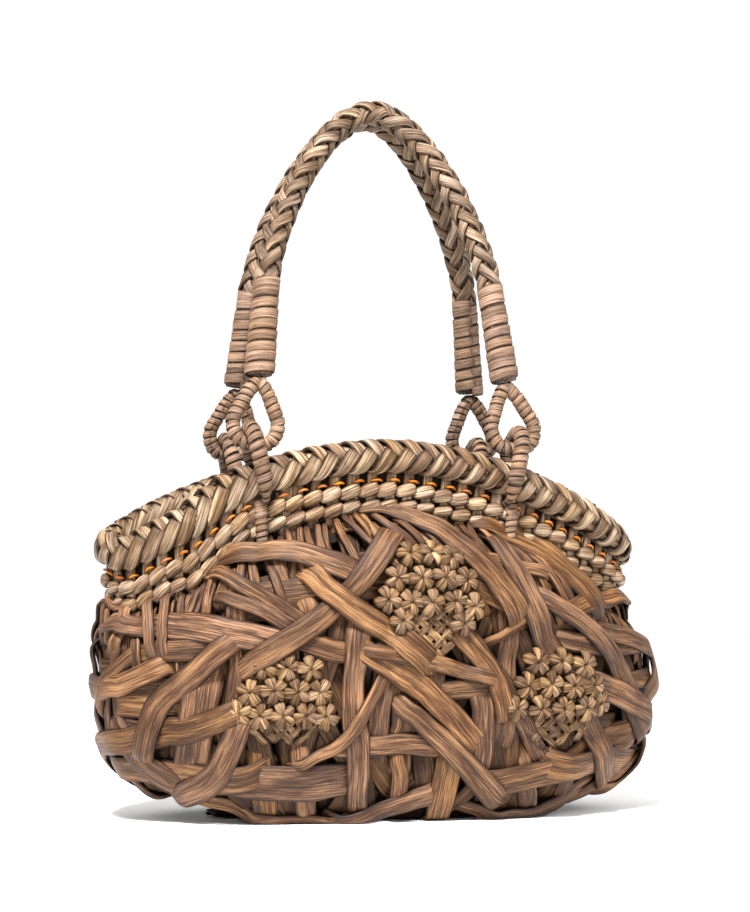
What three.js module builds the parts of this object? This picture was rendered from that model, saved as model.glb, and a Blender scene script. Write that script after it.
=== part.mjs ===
// A vine basket bag: an open oval basket of wide bark strips laid at random over a plainer wall,
// with a twined neck, a plaited rim, four wrapped rings and two plaited handles on wrapped eyes.
// Millimetres, +Z up. The front faces -Y, and the origin is on the floor under the bag's middle.
import * as THREE from "three";

// Plan of the bag: every level is the same rounded oval, a superellipse of this power.
const PLAN_POWER = 2.4;

// Rim line: the middle of the plaited rim, high at front and back and low at both ends.
const RIM_HALF_LENGTH = 160;
const RIM_HALF_DEPTH = 50;
const RIM_MID_HEIGHT = 213;
const RIM_END_DROP = 53;
const RIM_DROP_POWER = 1.85;

// The rim sags between the left front ring and the left end: how deep, and the angles in degrees
// where the sag begins, is full and ends.
const RIM_SAG = 10.5;
const SAG_BEGINS = 182;
const SAG_FULL_FROM = 204;
const SAG_FULL_TO = 222;
const SAG_ENDS = 243;

// Plaited rim: half sizes of its section, the height of a strand, its number of stitches, and how
// far a strand leans from one corner of the section to the next, in stitches.
const RIM_HALF_HEIGHT = 10;
const RIM_HALF_THICKNESS = 6.2;
const STRAND_RISE = 0.9;
const STITCHES = 68;
const STRAND_SLANT = 0.35;

// Lacing: the stakes' bare necks and the cord round them, in the gap below the rim.
const LACING_GAP = 5.6;
const STAKE_HALF_THICKNESS = 1.8;
const CORD_HALF_HEIGHT = 1.1;

// Twined rows: rings of beads, one bead a stitch. The neck draws in below the rim, row by row.
const ROW_NAMES = ["twined_row_upper", "twined_row_lower"];
const BEAD_HALF_HEIGHT = 4.4;
const BEAD_HALF_THICKNESS = 4.6;
const BEAD_WAIST = 0.66;
const NECK_INSET = 2;
const ROW_INSET = 2.5;

// Wall: a lofted shell from the base mat's edge to the lower row. Each level gives the oval's
// half length and half depth, and its height as a share of the wall's height there.
const WALL_THICKNESS = 4;
const WALL_TOP_GAP = 0.6;
const BASE_HALF_LENGTH = 112;
const BASE_HALF_DEPTH = 42;
const BELLY_HALF_LENGTH = 171;
const BELLY_HALF_DEPTH = 66;
const BELLY_LEVEL = 0.56;
const HEEL_LEVEL = 0.1;
const HEEL_SHARE = 0.55;
const FLANK_LEVEL = 0.3;
const FLANK_SHARE = 0.9;
const SHOULDER_LEVEL = 0.84;
const SHOULDER_SHARE = 0.82;

// The hand-woven body bulges a little further to the right than to the left of its rim.
const BODY_SHIFT = 6.5;

// Base mat: the flat plaited bottom inside the wall's lower edge.
const BASE_THICKNESS = 3.4;

// Bark strips on the wall: their widths and thickness, how steeply they climb over each other, and
// the lowest and highest parts of the wall that they reach.
const BROAD = 22;
const MIDDLING = 20;
const SLIM = 17;
const STRIP_THICKNESS = 1.8;
const STRIP_EDGE = 1.1;
const STRIP_CLIMB = 0.32;
const STRIP_STEP = 14;
const LAYER_GAP = 0.8;
const LOW_SHARE = 0.02;
const HIGH_SHARE = 0.96;

// Knotted patches: rows of flower knots on the front.
const PATCH_HALF_WIDTH = 30;
const PATCH_HALF_HEIGHT = 25;
const PATCH_THICKNESS = 2;
const KNOT_RISE = 3;
const KNOTS_ACROSS = 5;
const KNOTS_UP = 4;

// Rings: wrapped loops round the rim that carry the handles. Each thins to its seat in the lacing,
// rests near the rim's outside and has its play on the inside.
const RING_FROM_MIDDLE = 76;
const RING_LEAN_DEGREES = 11.5;
const RING_TUBE_RADIUS = 4.7;
const RING_SEAT_RADIUS = 2.3;
const RING_REST_GAP = 1.2;
const RING_PLAY = 4;
const RING_SIDE_CLEARANCE = 0.6;
const RING_POWER = 2.5;
const SEAT_END = 0.6;

// Handles: eyes that hang in the rings, wrapped collars, and a plaited arch.
const EYE_TUBE_RADIUS = 4.3;
const EYE_HALF_WIDTH = 13.4;
const EYE_NECK_HALF_WIDTH = 4.6;
const EYE_HEIGHT = 38.5;
const EYE_OVER_RIM = 4.2;
const EYE_IN_RING_PLAY = 1;
const LEG_LEAN_DEGREES = 6;
const COLLAR_LENGTH = 60;
const COLLAR_WRAPS = 9;
const COLLAR_FOOT_HALF_WIDTH = 8.6;
const COLLAR_FOOT_HALF_THICKNESS = 6.6;
const COLLAR_TOP_RADIUS = 7.4;
const WRAP_RISE = 0.7;
const ARCH_RADIUS = 6.8;
const PLAIT_RISE = 0.8;
const ARCH_RISE = 46;
const ARCH_CROWN = 28;
const ARCH_TOP = 213;

// Running and seating gap between neighbouring pieces.
const GAP = 0.3;

// Facets and search steps.
const WALL_STATIONS = 50;
const WALL_LEVELS = 6;
const RIM_SIDES = 8;
const LACING_SIDES = 4;
const TUBE_SIDES = 6;
const EYE_STATIONS = 20;
const RING_STATIONS = 20;
const COLLAR_SIDES = 8;
const ARCH_SIDES = 8;
const ARCH_PLAIT_STEP = 16;
const ROUTE_STEPS = 60;
const LIFT_TURNS = 40;
const FACE_SEARCH_TURNS = 30;
const SMALL = 0.001;

const UP = new THREE.Vector3(0, 0, 1);
const ACROSS = new THREE.Vector3(0, 1, 0);
const ringLean = THREE.MathUtils.degToRad(RING_LEAN_DEGREES);
const legLean = THREE.MathUtils.degToRad(LEG_LEAN_DEGREES);

const bark = (name, color, roughness) =>
  new THREE.MeshStandardMaterial({ name, color, roughness, metalness: 0 });
const underBark = bark("under_bark", 0x6f5036, 0.85);
const stripBark = bark("strip_bark", 0x9a7350, 0.75);
const rimBark = bark("rim_bark", 0xa98258, 0.7);
const twinedBark = bark("twined_bark", 0x8a6648, 0.75);
const wrapBark = bark("wrap_bark", 0xa37c58, 0.7);
const plaitBark = bark("plait_bark", 0x9c744f, 0.7);
const knotBark = bark("knot_bark", 0x94703f, 0.75);
const lacingCord = bark("lacing_cord", 0xc9822f, 0.6);

const bag = new THREE.Group();

function add(name, geometry, material, group = bag) {
  const mesh = new THREE.Mesh(geometry, material);
  mesh.name = name;
  group.add(mesh);
}

// Signed volume of a closed skin, which is negative when its faces point inwards.
function signedVolume(points, faces) {
  let total = 0;
  const normal = new THREE.Vector3();
  for (let i = 0; i < faces.length; i += 3)
    total += points[faces[i]].dot(normal.crossVectors(points[faces[i + 1]], points[faces[i + 2]]));
  return total / 6;
}

function closedSolid(points, faces) {
  if (signedVolume(points, faces) < 0)
    for (let i = 0; i < faces.length; i += 3)
      [faces[i + 1], faces[i + 2]] = [faces[i + 2], faces[i + 1]];
  const geometry = new THREE.BufferGeometry().setFromPoints(points);
  geometry.setIndex(faces);
  geometry.computeVertexNormals();
  return geometry;
}

// A closed solid through rings of points. The last ring joins the first, or both ends are capped.
function skin(rings, closed) {
  const sides = rings[0].length;
  const faces = [];
  const spans = closed ? rings.length : rings.length - 1;
  for (let i = 0; i < spans; i++) {
    const next = (i + 1) % rings.length;
    for (let k = 0; k < sides; k++) {
      const l = (k + 1) % sides;
      faces.push(i * sides + k, next * sides + k, next * sides + l);
      faces.push(i * sides + k, next * sides + l, i * sides + l);
    }
  }
  if (!closed) {
    const last = (rings.length - 1) * sides;
    for (let k = 1; k < sides - 1; k++) {
      faces.push(0, k, k + 1);
      faces.push(last, last + k + 1, last + k);
    }
  }
  return closedSolid(rings.flat(), faces);
}

// A tube round a flat curve. profile(i) gives its corners as [off the curve in its plane, out of plane].
function tubeOnCurve(curve, planeNormal, stations, closed, profile) {
  const rings = [];
  const count = closed ? stations : stations + 1;
  for (let i = 0; i < count; i++) {
    const share = i / stations;
    const centre = curve.getPoint(share);
    const side = new THREE.Vector3().crossVectors(curve.getTangent(share), planeNormal).normalize();
    rings.push(
      profile(i, share).map(([a, b]) =>
        centre.clone().addScaledVector(side, a).addScaledVector(planeNormal, b),
      ),
    );
  }
  return skin(rings, closed);
}

// Corners of an oval section with flats above and below.
function oval(halfA, halfB, sides, rise = () => 0) {
  const flat = Math.cos(Math.PI / sides);
  const first = sides / 4 + 0.5;
  return Array.from({ length: sides }, (_, j) => {
    const angle = ((j + first) / sides) * 2 * Math.PI;
    return [
      (halfA / flat + rise(j)) * Math.cos(angle),
      (halfB / flat + rise(j)) * Math.sin(angle),
    ];
  });
}

// Corners of a round section whose corners lie on its radius.
function round(radius, sides) {
  const half = radius * Math.cos(Math.PI / sides);
  return oval(half, half, sides);
}

// Plan outline, and the level direction straight out of it.
function outline(angle, halfLength, halfDepth) {
  const bend = 2 / PLAN_POWER;
  const c = Math.cos(angle);
  const s = Math.sin(angle);
  return new THREE.Vector3(
    halfLength * Math.sign(c) * Math.abs(c) ** bend,
    halfDepth * Math.sign(s) * Math.abs(s) ** bend,
    0,
  );
}

function outwards(angle, halfLength, halfDepth) {
  const p = outline(angle, halfLength, halfDepth);
  const slope = (value, half) =>
    (Math.sign(value) * Math.abs(value / half) ** (PLAN_POWER - 1)) / half;
  return new THREE.Vector3(slope(p.x, halfLength), slope(p.y, halfDepth), 0).normalize();
}

function rimSag(angle) {
  const { euclideanModulo, radToDeg, smoothstep } = THREE.MathUtils;
  const degrees = euclideanModulo(radToDeg(angle), 360);
  const begun = smoothstep(degrees, SAG_BEGINS, SAG_FULL_FROM);
  return RIM_SAG * begun * (1 - smoothstep(degrees, SAG_FULL_TO, SAG_ENDS));
}

function rimPoint(angle) {
  const p = outline(angle, RIM_HALF_LENGTH, RIM_HALF_DEPTH);
  const drop = RIM_END_DROP * Math.abs(p.x / RIM_HALF_LENGTH) ** RIM_DROP_POWER;
  p.z = RIM_MID_HEIGHT - drop - rimSag(angle);
  return p;
}

// How much taller an upright cut through the sloping neck is than one square to it.
function slopeStretch(angle) {
  const step = 0.02;
  const run = rimPoint(angle + step).sub(rimPoint(angle - step));
  return run.length() / Math.hypot(run.x, run.y);
}

// A point of the neck: out from the rim line, and up from it, square to the slope.
function neckPoint(angle, out, up) {
  const normal = outwards(angle, RIM_HALF_LENGTH, RIM_HALF_DEPTH);
  return rimPoint(angle)
    .addScaledVector(normal, out)
    .addScaledVector(UP, up * slopeStretch(angle));
}

// Lengths along the rim line, from the right-hand end, for places counted in stitches.
const RIM_TABLE_STEPS = 1440;
const rimLengths = [0];
for (let i = 1; i <= RIM_TABLE_STEPS; i++) {
  const before = rimPoint(((i - 1) / RIM_TABLE_STEPS) * 2 * Math.PI);
  const after = rimPoint((i / RIM_TABLE_STEPS) * 2 * Math.PI);
  rimLengths.push(rimLengths[i - 1] + before.distanceTo(after));
}

// The angle of the rim line at a place counted in stitches.
function stitchAngle(stitch) {
  const turns = Math.floor(stitch / STITCHES);
  const want = (stitch / STITCHES - turns) * rimLengths[RIM_TABLE_STEPS];
  let low = 0;
  let high = RIM_TABLE_STEPS;
  while (high - low > 1) {
    const middle = (low + high) >> 1;
    if (rimLengths[middle] <= want) low = middle;
    else high = middle;
  }
  const part = (want - rimLengths[low]) / (rimLengths[high] - rimLengths[low]);
  return 2 * Math.PI * (turns + (low + part) / RIM_TABLE_STEPS);
}

const halfStitches = Array.from({ length: 2 * STITCHES }, (_, i) => i / 2);
const rimFoot = -(RIM_HALF_HEIGHT + STRAND_RISE);
const lacingMiddle = rimFoot - LACING_GAP / 2;
const rowPitch = 2 * BEAD_HALF_HEIGHT + GAP;
const wallTop = rimFoot - LACING_GAP - ROW_NAMES.length * rowPitch - WALL_TOP_GAP;

// Plaited rim: each strand is a ridge that leans away on both sides of the spine, as arrows do.
function plaitedRim() {
  const spine = 6;
  const rings = halfStitches.map((stitch, i) =>
    oval(RIM_HALF_THICKNESS, RIM_HALF_HEIGHT, RIM_SIDES, () => (i % 2) * STRAND_RISE).map(
      ([out, up], j) => {
        const apart = Math.abs(j - spine);
        const fromSpine = Math.min(apart, RIM_SIDES - apart);
        return neckPoint(stitchAngle(stitch + STRAND_SLANT * fromSpine), out, up);
      },
    ),
  );
  add("plaited_rim", skin(rings, true), rimBark);
}

// Twined rows: each station is a bead's middle or the waist between two beads.
function twinedRows() {
  ROW_NAMES.forEach((name, row) => {
    const middle = rimFoot - LACING_GAP - row * rowPitch - BEAD_HALF_HEIGHT;
    const rings = halfStitches.map((stitch, i) => {
      const size = i % 2 ? BEAD_WAIST : 1;
      const thick = BEAD_HALF_THICKNESS * size;
      const high = BEAD_HALF_HEIGHT * size;
      const corners = [
        [thick, 0],
        [thick / 2, high],
        [-thick, high],
        [-thick, -high],
        [thick / 2, -high],
      ];
      return corners.map(([out, up]) =>
        neckPoint(stitchAngle(stitch), out - NECK_INSET - row * ROW_INSET, middle + up),
      );
    });
    add(name, skin(rings, true), twinedBark);
  });
}

// Lacing: four runs of stakes and cord, parted where the rings go through the neck.
function lacing() {
  const stakeHalfHeight = LACING_GAP / 2 - GAP;
  const halfOpening = RING_TUBE_RADIUS + RING_SIDE_CLEARANCE;
  const run = (name, belongs) => {
    const inside = halfStitches.map((stitch) => belongs(rimPoint(stitchAngle(stitch))));
    const first = inside.findIndex((now, i) => now && !inside.at(i - 1));
    const length = inside.filter(Boolean).length;
    const rings = Array.from({ length }, (_, i) => {
      const station = first + i;
      const height = station % 2 ? CORD_HALF_HEIGHT : stakeHalfHeight;
      const thick = station % 2 ? CORD_HALF_HEIGHT : STAKE_HALF_THICKNESS;
      return oval(thick, height, LACING_SIDES).map(([out, up]) =>
        neckPoint(stitchAngle(station / 2), out - NECK_INSET / 2, lacingMiddle + up),
      );
    });
    add(name, skin(rings, false), lacingCord);
  };
  const seat = RING_FROM_MIDDLE + Math.sin(ringLean) * lacingMiddle;
  run("lacing_front", (p) => Math.abs(p.x) < seat - halfOpening && p.y < 0);
  run("lacing_back", (p) => Math.abs(p.x) < seat - halfOpening && p.y > 0);
  run("lacing_left", (p) => p.x < -seat - halfOpening);
  run("lacing_right", (p) => p.x > seat + halfOpening);
}

// Wall levels, from the edge of the base mat up to the lower row.
const between = (low, high, share) => low + (high - low) * share;
const topInset = NECK_INSET + ROW_INSET;
const topHalfLength = RIM_HALF_LENGTH - topInset;
const topHalfDepth = RIM_HALF_DEPTH - topInset;
const LEVEL_SCALE = 100;
const wallLevels = new THREE.CatmullRomCurve3(
  [
    [BASE_HALF_LENGTH, BASE_HALF_DEPTH, 0],
    [
      between(BASE_HALF_LENGTH, BELLY_HALF_LENGTH, HEEL_SHARE),
      between(BASE_HALF_DEPTH, BELLY_HALF_DEPTH, HEEL_SHARE),
      HEEL_LEVEL,
    ],
    [
      between(BASE_HALF_LENGTH, BELLY_HALF_LENGTH, FLANK_SHARE),
      between(BASE_HALF_DEPTH, BELLY_HALF_DEPTH, FLANK_SHARE),
      FLANK_LEVEL,
    ],
    [BELLY_HALF_LENGTH, BELLY_HALF_DEPTH, BELLY_LEVEL],
    [
      between(topHalfLength, BELLY_HALF_LENGTH, SHOULDER_SHARE),
      between(topHalfDepth, BELLY_HALF_DEPTH, SHOULDER_SHARE),
      SHOULDER_LEVEL,
    ],
    [topHalfLength, topHalfDepth, 1],
  ].map(([length, depth, level]) => new THREE.Vector3(length, depth, LEVEL_SCALE * level)),
  false,
  "centripetal",
);

// How far a level's middle lies to the right of the rim's.
function shiftAt(level) {
  return BODY_SHIFT * (1 - THREE.MathUtils.smoothstep(level.z / LEVEL_SCALE, BELLY_LEVEL, 1));
}

// A point of the wall at an angle and a share of the way up, moved out from its outer face.
function wallPoint(angle, share, out = 0) {
  const level = wallLevels.getPoint(share);
  const slope = wallLevels.getTangent(share);
  const stretch = neckPoint(angle, 0, wallTop).z / LEVEL_SCALE;
  const run = Math.hypot(slope.x, slope.z * stretch);
  const p = outline(angle, level.x, level.y);
  p.addScaledVector(outwards(angle, level.x, level.y), (out * slope.z * stretch) / run);
  p.x += shiftAt(level);
  p.z = level.z * stretch - (out * slope.x) / run;
  return p;
}

const wallAngles = Array.from(
  { length: WALL_STATIONS },
  (_, i) => ((i + 0.5) / WALL_STATIONS) * 2 * Math.PI,
);

function wovenWall() {
  const shares = Array.from({ length: WALL_LEVELS + 1 }, (_, k) => k / WALL_LEVELS);
  const rings = wallAngles.map((angle) => [
    ...shares.map((share) => wallPoint(angle, share)),
    ...shares.map((share) => wallPoint(angle, share, -WALL_THICKNESS)).reverse(),
  ]);
  add("woven_wall", skin(rings, true), underBark);
}

// Base mat: its edge slopes as the foot of the wall does, a gap inside it.
function baseMat() {
  const corners = (z) =>
    wallAngles.map((angle) => {
      const foot = wallPoint(angle, 0);
      const cut = wallPoint(angle, 0, -WALL_THICKNESS).sub(foot);
      const inset = -GAP - (z * Math.hypot(cut.x, cut.y)) / cut.z;
      foot.addScaledVector(outwards(angle, BASE_HALF_LENGTH, BASE_HALF_DEPTH), inset);
      foot.z = z;
      return foot;
    });
  add("base_mat", skin([corners(0), corners(BASE_THICKNESS)], false), underBark);
}

// The faces of the bag. The front and the back are read by distance from the middle along the bag,
// and the two ends by distance from the middle across it.
const FRONT = { place: (c) => -Math.acos(c), half: "x" };
const BACK = { place: (c) => Math.acos(c), half: "x" };
const LEFT = { place: (s) => Math.PI - Math.asin(s), half: "y" };
const RIGHT = { place: (s) => Math.asin(s), half: "y" };
const FACE_EDGE = 0.98;
const midWallHeight = neckPoint(FRONT.place(0), 0, wallTop).z;

// The place on the wall at a distance from the middle of a face and a height.
function onFace(distance, z, face) {
  let angle = face.place(0);
  let share = 0.5;
  for (let turn = 0; turn < FACE_SEARCH_TURNS; turn++) {
    const miss = z - wallPoint(angle, share).z;
    const wallHeight = neckPoint(angle, 0, wallTop).z;
    share = THREE.MathUtils.clamp(share + miss / wallHeight, LOW_SHARE, HIGH_SHARE);
    const level = wallLevels.getPoint(share);
    const middle = face.half === "x" ? shiftAt(level) : 0;
    const part = THREE.MathUtils.clamp((distance - middle) / level[face.half], -FACE_EDGE, FACE_EDGE);
    angle = face.place(Math.sign(part) * Math.abs(part) ** (PLAN_POWER / 2));
  }
  return { angle, share };
}

// The same, given in percent of the belly's half size and of the wall's height in the middle.
function atPercent([across, up], face) {
  const half = face.half === "x" ? BELLY_HALF_LENGTH : BELLY_HALF_DEPTH;
  return onFace((across / 100) * half, (up / 100) * midWallHeight, face);
}

// Bark strips, listed from the lowest layer to the highest. Each has its width and the places that
// it runs through, in percent of the way from the middle to the end and from the foot to the neck.
const strips = [
  ["front_low_band", FRONT, MIDDLING, [[-69, 19], [-35, 16], [-6, 16]]],
  ["front_low_band_right", FRONT, BROAD, [[7, 15], [41, 22], [71, 33]]],
  ["front_left_band", FRONT, BROAD, [[-78, 61], [-58, 62], [-36, 58]]],
  ["front_left_post", FRONT, SLIM, [[-65, 28], [-68, 49]]],
  ["front_middle_post", FRONT, SLIM, [[-14, 29], [-15, 54]]],
  ["front_middle_fall", FRONT, SLIM, [[-9, 54], [5, 46], [15, 37], [25, 28]]],
  ["front_right_band", FRONT, SLIM, [[36, 46], [21, 50], [-2, 54]]],
  ["front_end_band", FRONT, SLIM, [[62, 60], [78, 60]]],
  ["front_neck_fall", FRONT, SLIM, [[37, 87], [44, 75], [51, 59]]],
  ["front_top_band", FRONT, BROAD, [[-57, 74], [-41, 79], [-23, 81]]],
  ["front_left_sweep", FRONT, BROAD, [[-80, 27], [-65, 42], [-50, 53]]],
  ["front_foot_sweep", FRONT, BROAD, [[-57, 14], [-36, 24], [-25, 41]]],
  ["front_low_fall", FRONT, SLIM, [[4, 38], [14, 30], [34, 14]]],
  ["front_crossing", FRONT, BROAD, [[-34, 50], [-18, 66], [-1, 82]]],
  ["front_right_sweep", FRONT, MIDDLING, [[28, 64], [43, 52], [51, 36]]],
  ["front_corner_post", FRONT, MIDDLING, [[68, 14], [63, 24], [58, 33]]],
  ["front_neck_sweep", FRONT, MIDDLING, [[-9, 91], [20, 85], [39, 64]]],
  ["front_shoulder_sweep", FRONT, MIDDLING, [[37, 85], [54, 76], [68, 64]]],
  ["front_long_sweep", FRONT, BROAD, [[-33, 72], [-9, 54], [15, 34], [26, 17]]],
  ["back_low_band_left", BACK, MIDDLING, [[-66, 20], [-36, 17], [-6, 16]]],
  ["back_low_band_right", BACK, MIDDLING, [[10, 17], [38, 18], [67, 21]]],
  ["back_high_band_left", BACK, MIDDLING, [[-72, 60], [-42, 68], [-12, 72]]],
  ["back_high_band_right", BACK, MIDDLING, [[6, 74], [38, 68], [70, 58]]],
  ["back_middle_band", BACK, SLIM, [[-80, 42], [-52, 40], [-18, 44]]],
  ["back_counter_sweep", BACK, MIDDLING, [[52, 80], [20, 62], [-18, 34]]],
  ["back_rising_sweep", BACK, BROAD, [[-68, 33], [-35, 52], [-12, 85]]],
  ["back_falling_sweep", BACK, BROAD, [[65, 35], [39, 50], [13, 85]]],
  ["back_crossing", BACK, BROAD, [[-49, 75], [0, 50], [35, 22]]],
  ["left_low_band", LEFT, MIDDLING, [[-64, 22], [0, 24], [64, 22]]],
  ["left_crossing", LEFT, SLIM, [[-58, 41], [0, 34], [52, 16]]],
  ["left_end_post", LEFT, SLIM, [[-15, 19], [-6, 46], [15, 61]]],
  ["right_low_band", RIGHT, MIDDLING, [[-64, 24], [0, 22], [64, 21]]],
  ["right_end_post", RIGHT, SLIM, [[3, 19], [-12, 44], [-27, 61]]],
  ["right_crossing", RIGHT, SLIM, [[-52, 50], [0, 41], [55, 36]]],
];

// A strip's stations on the wall: its place, the steps that go across it, and its lift off the wall.
function stationsOf(face, width, places) {
  const route = new THREE.CatmullRomCurve3(
    places.map((place) => {
      const { angle, share } = atPercent(place, face);
      return new THREE.Vector3(angle, share, 0);
    }),
    false,
    "centripetal",
  );
  const at = (part) => {
    const p = route.getPoint(part);
    return wallPoint(p.x, p.y);
  };
  let length = 0;
  for (let i = 0; i < ROUTE_STEPS; i++)
    length += at(i / ROUTE_STEPS).distanceTo(at((i + 1) / ROUTE_STEPS));
  const count = Math.max(3, Math.round(length / STRIP_STEP));
  return Array.from({ length: count + 1 }, (_, i) => {
    const { x: angle, y: share } = route.getPoint(i / count);
    const place = wallPoint(angle, share);
    const alongAngle = wallPoint(angle + SMALL, share).sub(place).divideScalar(SMALL);
    const alongShare = wallPoint(angle, share + SMALL).sub(place).divideScalar(SMALL);
    const normal = new THREE.Vector3().crossVectors(alongAngle, alongShare).normalize();
    const ahead = at(Math.min((i + 0.1) / count, 1)).sub(at(Math.max((i - 0.1) / count, 0)));
    const across = new THREE.Vector3().crossVectors(normal, ahead).normalize();
    const aa = alongAngle.lengthSq();
    const bb = alongShare.lengthSq();
    const ab = alongAngle.dot(alongShare);
    const pa = across.dot(alongAngle);
    const pb = across.dot(alongShare);
    const angleStep = (pa * bb - pb * ab) / (aa * bb - ab * ab);
    const shareStep = (pb * aa - pa * ab) / (aa * bb - ab * ab);
    return { place, angle, share, angleStep, shareStep, width, lift: LAYER_GAP };
  });
}

// Lifts stations over all that lies under them, with an even climb to each crossing.
function liftOver(stations, below, beside) {
  for (const station of stations)
    for (const other of below) {
      const reach = (station.width + other.width + STRIP_STEP) / 2;
      if (station.place.distanceTo(other.place) < reach)
        station.lift = Math.max(station.lift, other.lift + STRIP_THICKNESS + LAYER_GAP);
    }
  for (let turn = 0; turn < LIFT_TURNS; turn++)
    stations.forEach((station, i) => {
      for (const next of beside(i)) {
        const run = station.place.distanceTo(next.place);
        station.lift = Math.max(station.lift, next.lift - STRIP_CLIMB * run);
      }
    });
}

// A strip: flat below, crowned above, and bent with the wall both ways.
function ribbon(stations) {
  const rings = stations.map((station) => {
    const corner = (side, height) => {
      const step = (side * station.width) / 2;
      const share = THREE.MathUtils.clamp(station.share + step * station.shareStep, 0, HIGH_SHARE);
      return wallPoint(station.angle + step * station.angleStep, share, station.lift + height);
    };
    return [
      corner(-1, 0),
      corner(0, 0),
      corner(1, 0),
      corner(1, STRIP_EDGE),
      corner(0, STRIP_THICKNESS),
      corner(-1, STRIP_EDGE),
    ];
  });
  return skin(rings, false);
}

const laid = [];

function barkStrips() {
  for (const [name, face, width, places] of strips) {
    const stations = stationsOf(face, width, places);
    liftOver(stations, laid, (i) => [stations[i - 1], stations[i + 1]].filter(Boolean));
    laid.push(...stations);
    add(name, ribbon(stations), stripBark);
  }
}

// Knotted patches: a round mat draped over the strips, with a knot at every other crossing.
const patches = [
  ["knotted_patch_upper", 8, 71],
  ["knotted_patch_left", -43, 44],
  ["knotted_patch_right", 54, 43],
];

function knottedPatches() {
  const columns = 2 * KNOTS_ACROSS + 1;
  const rows = 2 * KNOTS_UP + 1;
  const acrossPercent = 100 / BELLY_HALF_LENGTH;
  const upPercent = 100 / midWallHeight;
  for (const [name, x, z] of patches) {
    const grid = [];
    for (let r = 0; r < rows; r++)
      for (let c = 0; c < columns; c++) {
        const u = (2 * c) / (columns - 1) - 1;
        const v = (2 * r) / (rows - 1) - 1;
        const dx = PATCH_HALF_WIDTH * u * Math.sqrt(1 - (v * v) / 2);
        const dz = PATCH_HALF_HEIGHT * v * Math.sqrt(1 - (u * u) / 2);
        const { angle, share } = atPercent([x + acrossPercent * dx, z + upPercent * dz], FRONT);
        const knot = (r % 2) * (c % 2) * KNOT_RISE;
        grid.push({ angle, share, place: wallPoint(angle, share), width: 0, lift: LAYER_GAP, knot });
      }
    liftOver(grid, laid, (i) => {
      const c = i % columns;
      const beside = [grid[i - columns], grid[i + columns]];
      if (c > 0) beside.push(grid[i - 1]);
      if (c < columns - 1) beside.push(grid[i + 1]);
      return beside.filter(Boolean);
    });
    const under = grid.map((g) => wallPoint(g.angle, g.share, g.lift));
    const over = grid.map((g) => wallPoint(g.angle, g.share, g.lift + PATCH_THICKNESS + g.knot));
    add(name, sheetSolid(under, over, columns, rows), knotBark);
  }
}

// A closed solid between two grids of points that have the same rows and columns.
function sheetSolid(under, over, columns, rows) {
  const top = under.length;
  const faces = [];
  const quad = (a, b, c, d) => faces.push(a, b, c, a, c, d);
  for (let r = 0; r < rows - 1; r++)
    for (let c = 0; c < columns - 1; c++) {
      const i = r * columns + c;
      quad(i, i + columns, i + columns + 1, i + 1);
      quad(top + i, top + i + 1, top + i + columns + 1, top + i + columns);
    }
  const edge = [];
  for (let c = 0; c < columns - 1; c++) edge.push(c);
  for (let r = 0; r < rows - 1; r++) edge.push(r * columns + columns - 1);
  for (let c = columns - 1; c > 0; c--) edge.push((rows - 1) * columns + c);
  for (let r = rows - 1; r > 0; r--) edge.push(r * columns);
  edge.forEach((a, i) => {
    const b = edge[(i + 1) % edge.length];
    quad(a, b, top + b, top + a);
  });
  return closedSolid([...under, ...over], faces);
}

// Where a ring and its eye lie on the rim, with heights taken along the leaning ring.
const seatAngle = FRONT.place((RING_FROM_MIDDLE / RIM_HALF_LENGTH) ** (PLAN_POWER / 2));
const seatOnRim = rimPoint(seatAngle);
const rimSlope = Math.acos(1 / slopeStretch(seatAngle));
const alongRing = (up) => up / Math.cos(rimSlope - ringLean);
const pivotRise = alongRing(-rimFoot) + EYE_OVER_RIM + EYE_TUBE_RADIUS;
const pivot = new THREE.Vector3(
  RING_FROM_MIDDLE + Math.sin(ringLean) * pivotRise,
  seatOnRim.y,
  seatOnRim.z + Math.cos(ringLean) * pivotRise,
);

// A ring: a flat loop round the rim and the eye, thin where it passes through the neck.
function ring(name, side, outward) {
  const rimHalf = RIM_HALF_THICKNESS + STRAND_RISE;
  const outer = rimHalf + RING_REST_GAP + RING_TUBE_RADIUS;
  const inner = rimHalf + RING_PLAY + RING_TUBE_RADIUS;
  const foot = alongRing(lacingMiddle);
  const top = pivotRise + EYE_TUBE_RADIUS + EYE_IN_RING_PLAY + RING_TUBE_RADIUS;
  const up = new THREE.Vector3(side * Math.sin(ringLean), 0, Math.cos(ringLean));
  const out = new THREE.Vector3(0, outward, 0);
  const centre = new THREE.Vector3(side * RING_FROM_MIDDLE, -outward * seatOnRim.y, seatOnRim.z)
    .addScaledVector(out, (outer - inner) / 2)
    .addScaledVector(up, (top + foot) / 2);
  const places = [];
  const radii = [];
  for (let i = 0; i < RING_STATIONS; i++) {
    const angle = (i / RING_STATIONS) * 2 * Math.PI;
    const shape = (value) => Math.sign(value) * Math.abs(value) ** (2 / RING_POWER);
    const across = shape(Math.sin(angle));
    const height = -shape(Math.cos(angle));
    places.push(
      centre
        .clone()
        .addScaledVector(out, (across * (outer + inner)) / 2)
        .addScaledVector(up, (height * (top - foot)) / 2),
    );
    const full = height > 0 ? 1 : THREE.MathUtils.smoothstep(Math.abs(across), SEAT_END, 1);
    radii.push(between(RING_SEAT_RADIUS, RING_TUBE_RADIUS, full));
  }
  const loop = new THREE.CatmullRomCurve3(places, true, "centripetal");
  const normal = new THREE.Vector3().crossVectors(up, out);
  const tube = tubeOnCurve(loop, normal, RING_STATIONS, true, (i) =>
    round(radii[i], TUBE_SIDES),
  );
  add(name, tube, wrapBark);
}

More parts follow.
